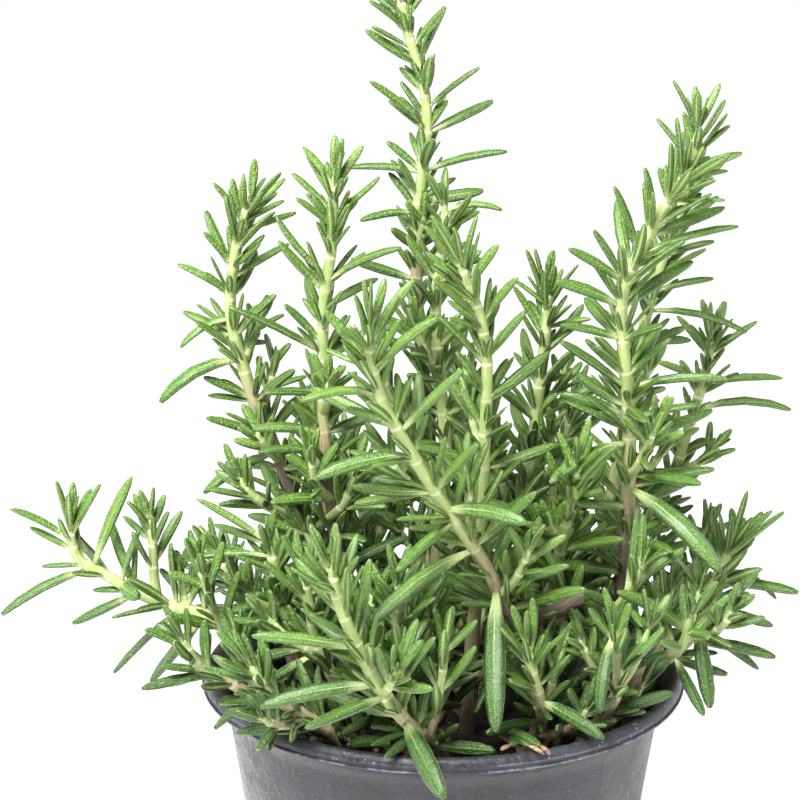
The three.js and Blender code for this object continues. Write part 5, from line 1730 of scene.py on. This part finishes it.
def leaf_material(settings):
    """Dark above with a pale groove, felted below, pale at the foot."""
    material, nodes = new_material("rosemary leaf")
    uv_across, along = nodes.laid_out("blade")
    age, tone, long = nodes.growth()
    place = nodes.place()
    under = uv_across > 1.0
    outward = nodes.math("ABSOLUTE", nodes.math("FRACT", uv_across) - 0.5) * 2
    blotch = nodes.group(mottle(), place, Scale=420.0, Contrast=1.4)
    # Painted shade: an age past full marks a low leaf in the shade of the upper ones; it darkens to the
    # margin colour, with less coat and fewer dots.
    deep_painted_shade = nodes.step(age, 1.0, 1.3)

    grown = nodes.blend(nodes.step(tone, 0.45, 0.95), settings.grown_top, settings.blue_top)
    ripeness = (age + (tone - 0.6) * 0.5).kept()
    rib_above = nodes.step(outward, 0.12, 0.02) * (nodes.step(along, 0.8, 0.1) * 0.55 + 0.06)
    top = nodes.laid_over(settings.new_top, (ripeness, grown), (rib_above, settings.midrib))
    top = nodes.blend(blotch * 0.45, top, LEAF_SHEEN, "SOFT_LIGHT")
    # Painted shade: the rolled edges, and the low leaves deep in the bush, darken to the margin colour.
    shaded = (nodes.step(outward, 0.5, 0.88) * 0.5 + deep_painted_shade * 0.5).kept()
    # Painted highlight: a thin pale rim along each edge of the top, in the midrib colour.
    edge = nodes.step(outward, 0.93, 1.0) * 0.5
    top = nodes.laid_over(top, (shaded, settings.margin), (edge, settings.midrib))

    rolled_edge = nodes.blend(0.08, top, settings.felt)
    below = nodes.laid_over(settings.felt, (nodes.step(outward, 0.26, 0.42), rolled_edge),
                            (nodes.step(outward, 0.16, 0.05), settings.midrib))

    # Pale dots: partly oil glands and hairs, partly painted glints; more on older leaves, fewer on the
    # low ones in painted shade.
    dots = nodes.group(specks(), place, Scale=2900.0, Share=0.4, Radius=0.36)
    glands_and_glints = dots * (age * 0.22 + 0.12 - deep_painted_shade * 0.18)
    foot = nodes.step(along, 0.32, 0.05) * 0.9
    dry = nodes.step(along, 0.97, 1.0) * nodes.step(tone, 0.7, 1.1)
    colour_here = nodes.laid_over(top, (under, below), (glands_and_glints, OIL_DOTS_AND_GLINTS),
                                  (foot, settings.midrib), (dry, settings.tip))

    groove = nodes.step(outward, 0.0, 0.35)
    wrinkles = nodes.noise(place, 1800.0, 3)
    puckers = nodes.noise(nodes.joined(outward * 1.1, along * long * 34, tone * 40), 1.0, 3, 0.4)
    height = groove * 0.25 + wrinkles * 0.75 + puckers * 0.5
    return finished(material, nodes, Base_Color=colour_here, Specular_IOR_Level=0.42,
                    Coat_Weight=(1 - under) * (0.22 - deep_painted_shade * 0.1), Coat_Roughness=0.24,
                    Roughness=under * 0.3 + blotch * 0.16 + 0.3,
                    Normal=nodes.bump(height, 0.0006))


def stem_material(settings):
    """Green and smooth near the tip, then tan, then grey bark with streaks along it."""
    material, nodes = new_material("rosemary stem")
    around, up = nodes.laid_out("bark")
    ripe, _, node = nodes.growth()
    place = nodes.place()
    blotch = nodes.group(mottle(), place, Scale=260.0, Contrast=1.6)
    ripeness = (ripe + (blotch - 0.5) * 0.4).kept()
    turn = around * (2 * math.pi)
    ring = nodes.joined(nodes.math("COSINE", turn) * 1.6, nodes.math("SINE", turn) * 1.6, up * 0.9)
    streaks = nodes.noise(ring, 2.6, 4, 0.3)
    cracks = nodes.step(streaks, 0.52, 0.36) * nodes.step(ripe, 0.1, 0.7)
    pale = nodes.step(streaks, 0.52, 0.66) * (0.4 - ripe * 0.22)
    green_part = 1.05 - ripe
    green_lines = (nodes.step(streaks, 0.5, 0.38) * green_part * 0.75).kept()
    ringed = (nodes.step(node, 0.55, 1.0) * green_part).kept()
    colour_here = nodes.laid_over(
        settings.young, (nodes.step(ripeness, 0.02, 0.5), settings.ripening),
        (nodes.step(ripeness, 0.45, 0.95), settings.bark),
        (nodes.step(ripe, 0.0, -0.4), settings.soft_tip),
        (cracks * 0.6, BARK_CRACKS), (pale, BARK_STREAKS),
        (green_lines, settings.soft_tip), (ringed * 0.5, settings.node_ring))
    height = streaks * (ripe + 0.15) + nodes.noise(place, 2600.0, 1) * 0.12
    return finished(material, nodes, Base_Color=colour_here, Roughness=streaks * 0.4 + 0.55,
                    Normal=nodes.bump(height, 0.0006, 0.9))


def pot_material(settings):
    """Thin recycled plastic with upright scratches, rubbed patches and specks of dust."""
    material, nodes = new_material("pot plastic")
    place = nodes.place()
    x, y, z = nodes.split(place)
    upright = nodes.noise(nodes.stretched(place, (1, 1, 0.3)), 700.0, 4, 1.2)
    fine = nodes.noise(nodes.stretched(place, (1, 1, 0.03)), 2600.0, 2)
    patches = nodes.group(mottle(), place, Scale=130.0, Contrast=2.8)
    on_band = nodes.step(z, *LIP_BAND_EDGE)
    scratched = nodes.step(upright, 0.5, 0.7) * ((1 - on_band * 0.75) * 0.25)
    rubbed = nodes.step(patches, 0.35, 0.85) * 0.8
    grain = nodes.step(nodes.noise(place, 1000.0, 4), 0.45, 0.66) * 0.6
    worn = (scratched + rubbed + nodes.step(z, *FOOT_SCUFFS) * 0.15).kept()
    worn = (worn + (grain + on_band * 0.3)).kept()
    # Painted highlights: two thin pale lines along the lip's ridges, broken up by the patches.
    lines = (nodes.between(z, *LOWER_RIDGE_HIGHLIGHT) + nodes.between(z, *UPPER_RIDGE_HIGHLIGHT) * 0.6).kept()
    dust = nodes.group(specks(), place, Scale=1500.0, Share=0.15, Radius=0.22)
    dusty = (dust * (nodes.step(patches, 0.42, 0.6) * (on_band + 0.45))).kept()
    inside = nodes.math("SQRT", x ** 2 + y ** 2) - z * INSIDE_SLOPE < INSIDE_RADIUS
    soiled = inside * nodes.step(z, *SPLASH_EDGE) * nodes.step(patches, 0.4, 0.66)
    colour_here = nodes.laid_over(
        settings.plastic, (worn * 0.65, settings.scuff),
        (lines * nodes.step(patches, 0.25, 0.6) * 0.75, settings.ridge_highlight),
        (dusty, DUST), (soiled * 0.5, SPLASHED_SOIL))
    height = upright * 0.12 + fine * 0.06 + patches * 0.7
    return finished(material, nodes, Base_Color=colour_here, Specular_IOR_Level=0.36,
                    Roughness=worn * 0.22 + settings.roughness + fine * 0.1,
                    Normal=nodes.bump(height, 0.00035, 0.8))


def soil_material(settings):
    """Damp peat with drier crumbs and a few pale grains."""
    material, nodes = new_material("potting soil")
    place = nodes.place()
    crumbs = nodes.group(mottle(), place, Scale=420.0, Contrast=1.9)
    dry = nodes.step(crumbs, 0.4, 0.85) * nodes.step(nodes.noise(place, 55.0, 2), 0.35, 0.65)
    grains = nodes.group(specks(), place, Scale=620.0, Share=0.035, Radius=0.3)
    colour_here = nodes.laid_over(settings.peat, (dry, settings.dry_peat), (grains * 0.7, PALE_GRAINS))
    height = crumbs + nodes.noise(place, 900.0, 4) * 0.5
    return finished(material, nodes, Base_Color=colour_here, Roughness=crumbs * 0.2 + 0.78,
                    Normal=nodes.bump(height, 0.0009))


def dry_leaf_material(settings):
    """Fallen leaves: brown above, tan below, with darker blotches."""
    material, nodes = new_material("dry leaf")
    uv_across, along = nodes.laid_out("blade")
    tone = nodes.growth()[1]
    blotch = nodes.group(mottle(), nodes.place(), Scale=500.0, Contrast=2.2)
    colour_here = nodes.laid_over(
        nodes.blend(tone, *DRY_TOP), (uv_across > 1.0, nodes.blend(tone, *DRY_BELOW)),
        (nodes.step(blotch, 0.6, 0.3), DRY_BLOTCHES),
        (nodes.step(along, 0.75, 1.0) * 0.5, settings.dry_peat))
    return finished(material, nodes, Base_Color=colour_here, Roughness=blotch * 0.3 + 0.6,
                    Normal=nodes.bump(blotch, 0.0003))


def floor_material(settings):
    """Matt paper that lights the plant from below, and looks evenly white itself."""
    material, nodes = new_material("pale floor")
    tooth = nodes.group(mottle(), nodes.place(), Scale=240.0, Contrast=1.0)
    shade = (tooth - 0.5) * 0.03
    seen = nodes.add("ShaderNodeLightPath", "Is Camera Ray")
    colour_here = nodes.laid_over(settings.floor, (shade + 0.5, WHITE), (seen * settings.evenness, BLACK))
    return finished(material, nodes, Base_Color=colour_here, Specular_IOR_Level=0.1,
                    Emission_Color=WHITE, Emission_Strength=seen * settings.glow,
                    Roughness=shade + 0.85, Normal=nodes.bump(tooth, 0.0001))


# ---------------------------------------------------------------- stage

FLOOR_HALF = 6.0       # metres
SUBJECT = Vector((0, 0, 0.13))   # what the lights point at
SENSOR_WIDTH = 36      # millimetres
# The place and width of each light, in metres, and the setting that holds its power.
LIGHTS = {"key": ((-0.4, -0.6, 1.15), 0.7, "key"),
          "fill": ((0.9, -0.6, 0.35), 0.9, "fill"),
          "left rim": ((-0.9, 0.45, 0.4), 0.7, "rim"),
          "right rim": ((0.9, 0.5, 0.4), 0.7, "rim")}


def add_light(name, place, width, power):
    """A square area light that points at the middle of the plant."""
    lamp = bpy.data.lights.new(name, "AREA")
    lamp.size = width
    lamp.energy = power
    light = linked(name, lamp)
    light.location = place
    light.rotation_euler = (SUBJECT - Vector(place)).to_track_quat("-Z", "Y").to_euler()


def build_stage(settings):
    """Pale floor, soft lights and the camera."""
    shape = bmesh.new()
    bmesh.ops.create_grid(shape, x_segments=8, y_segments=8, size=FLOOR_HALF)
    mesh = mesh_of(shape, "floor")
    mesh.materials.append(floor_material(settings))
    linked("floor", mesh)

    scene = bpy.context.scene
    world = bpy.data.worlds.new("surroundings")
    world.use_nodes = True
    sky = next(node for node in world.node_tree.nodes if node.type == "BACKGROUND")
    sky.inputs["Color"].default_value = (*WHITE, 1)
    sky.inputs["Strength"].default_value = settings.sky
    scene.world = world
    scene.view_settings.view_transform = "Standard"

    for name, (place, width, power) in LIGHTS.items():
        add_light(name, place, width, getattr(settings, power))

    lens = bpy.data.cameras.new("camera")
    lens.lens = settings.focal
    lens.sensor_width = SENSOR_WIDTH
    camera = linked("camera", lens)
    camera.location = settings.place
    camera.rotation_euler = (math.radians(90) - settings.pitch, 0, 0)
    scene.camera = camera


# ---------------------------------------------------------------- add-on


class BuildRosemaryPot(bpy.types.Operator):
    """Turn the nursery pot from its section and cut its drain holes"""

    bl_idname = "rosemary.build_pot"
    bl_label = "Build Pot"
    bl_options = {"REGISTER", "UNDO"}

    def execute(self, context):
        build_pot(context.scene.rosemary_pot)
        return {"FINISHED"}


class BuildRosemarySoil(bpy.types.Operator):
    """Fill the pot with crumbly soil, fibres and fallen leaves"""

    bl_idname = "rosemary.build_soil"
    bl_label = "Build Soil"
    bl_options = {"REGISTER", "UNDO"}

    def execute(self, context):
        build_soil(context.scene.rosemary_soil)
        return {"FINISHED"}


class BuildRosemaryStems(bpy.types.Operator):
    """Grow the woody canes and their shoots"""

    bl_idname = "rosemary.build_stems"
    bl_label = "Build Stems"
    bl_options = {"REGISTER", "UNDO"}

    def execute(self, context):
        build_stems(context.scene.rosemary_stem)
        return {"FINISHED"}


class BuildRosemaryLeaves(bpy.types.Operator):
    """Lay a needle-like leaf along each place that the plant has grown one"""

    bl_idname = "rosemary.build_leaves"
    bl_label = "Build Leaves"
    bl_options = {"REGISTER", "UNDO"}

    def execute(self, context):
        build_leaves(context.scene.rosemary_leaf)
        return {"FINISHED"}


class BuildRosemaryStage(bpy.types.Operator):
    """Set out the pale floor, the lights and the camera"""

    bl_idname = "rosemary.build_stage"
    bl_label = "Build Stage"
    bl_options = {"REGISTER", "UNDO"}

    def execute(self, context):
        build_stage(context.scene.rosemary_stage)
        return {"FINISHED"}


class RosemaryPanel(bpy.types.Panel):
    """Lists the pieces of the plant with their settings"""

    bl_idname = "VIEW3D_PT_rosemary"
    bl_label = "Potted Rosemary"
    bl_space_type = "VIEW_3D"
    bl_region_type = "UI"
    bl_category = "Rosemary"

    def draw(self, context):
        for operator, name, settings in PARTS:
            box = self.layout.box()
            box.operator(operator.bl_idname)
            for setting in settings.__annotations__:
                box.prop(getattr(context.scene, name), setting)


PARTS = (
    (BuildRosemaryPot, "rosemary_pot", RosemaryPotSettings),
    (BuildRosemarySoil, "rosemary_soil", RosemarySoilSettings),
    (BuildRosemaryStems, "rosemary_stem", RosemaryStemSettings),
    (BuildRosemaryLeaves, "rosemary_leaf", RosemaryLeafSettings),
    (BuildRosemaryStage, "rosemary_stage", RosemaryStageSettings),
)


def register():
    for operator, name, settings in PARTS:
        bpy.utils.register_class(settings)
        bpy.utils.register_class(operator)
        setattr(bpy.types.Scene, name, bpy.props.PointerProperty(type=settings))
    bpy.utils.register_class(RosemaryPanel)


def unregister():
    bpy.utils.unregister_class(RosemaryPanel)
    for operator, name, settings in reversed(PARTS):
        delattr(bpy.types.Scene, name)
        bpy.utils.unregister_class(operator)
        bpy.utils.unregister_class(settings)


def main():
    register()
    bpy.ops.rosemary.build_pot()
    bpy.ops.rosemary.build_soil()
    bpy.ops.rosemary.build_stems()
    bpy.ops.rosemary.build_leaves()
    bpy.ops.rosemary.build_stage()


if __name__ == "__main__":
    main()
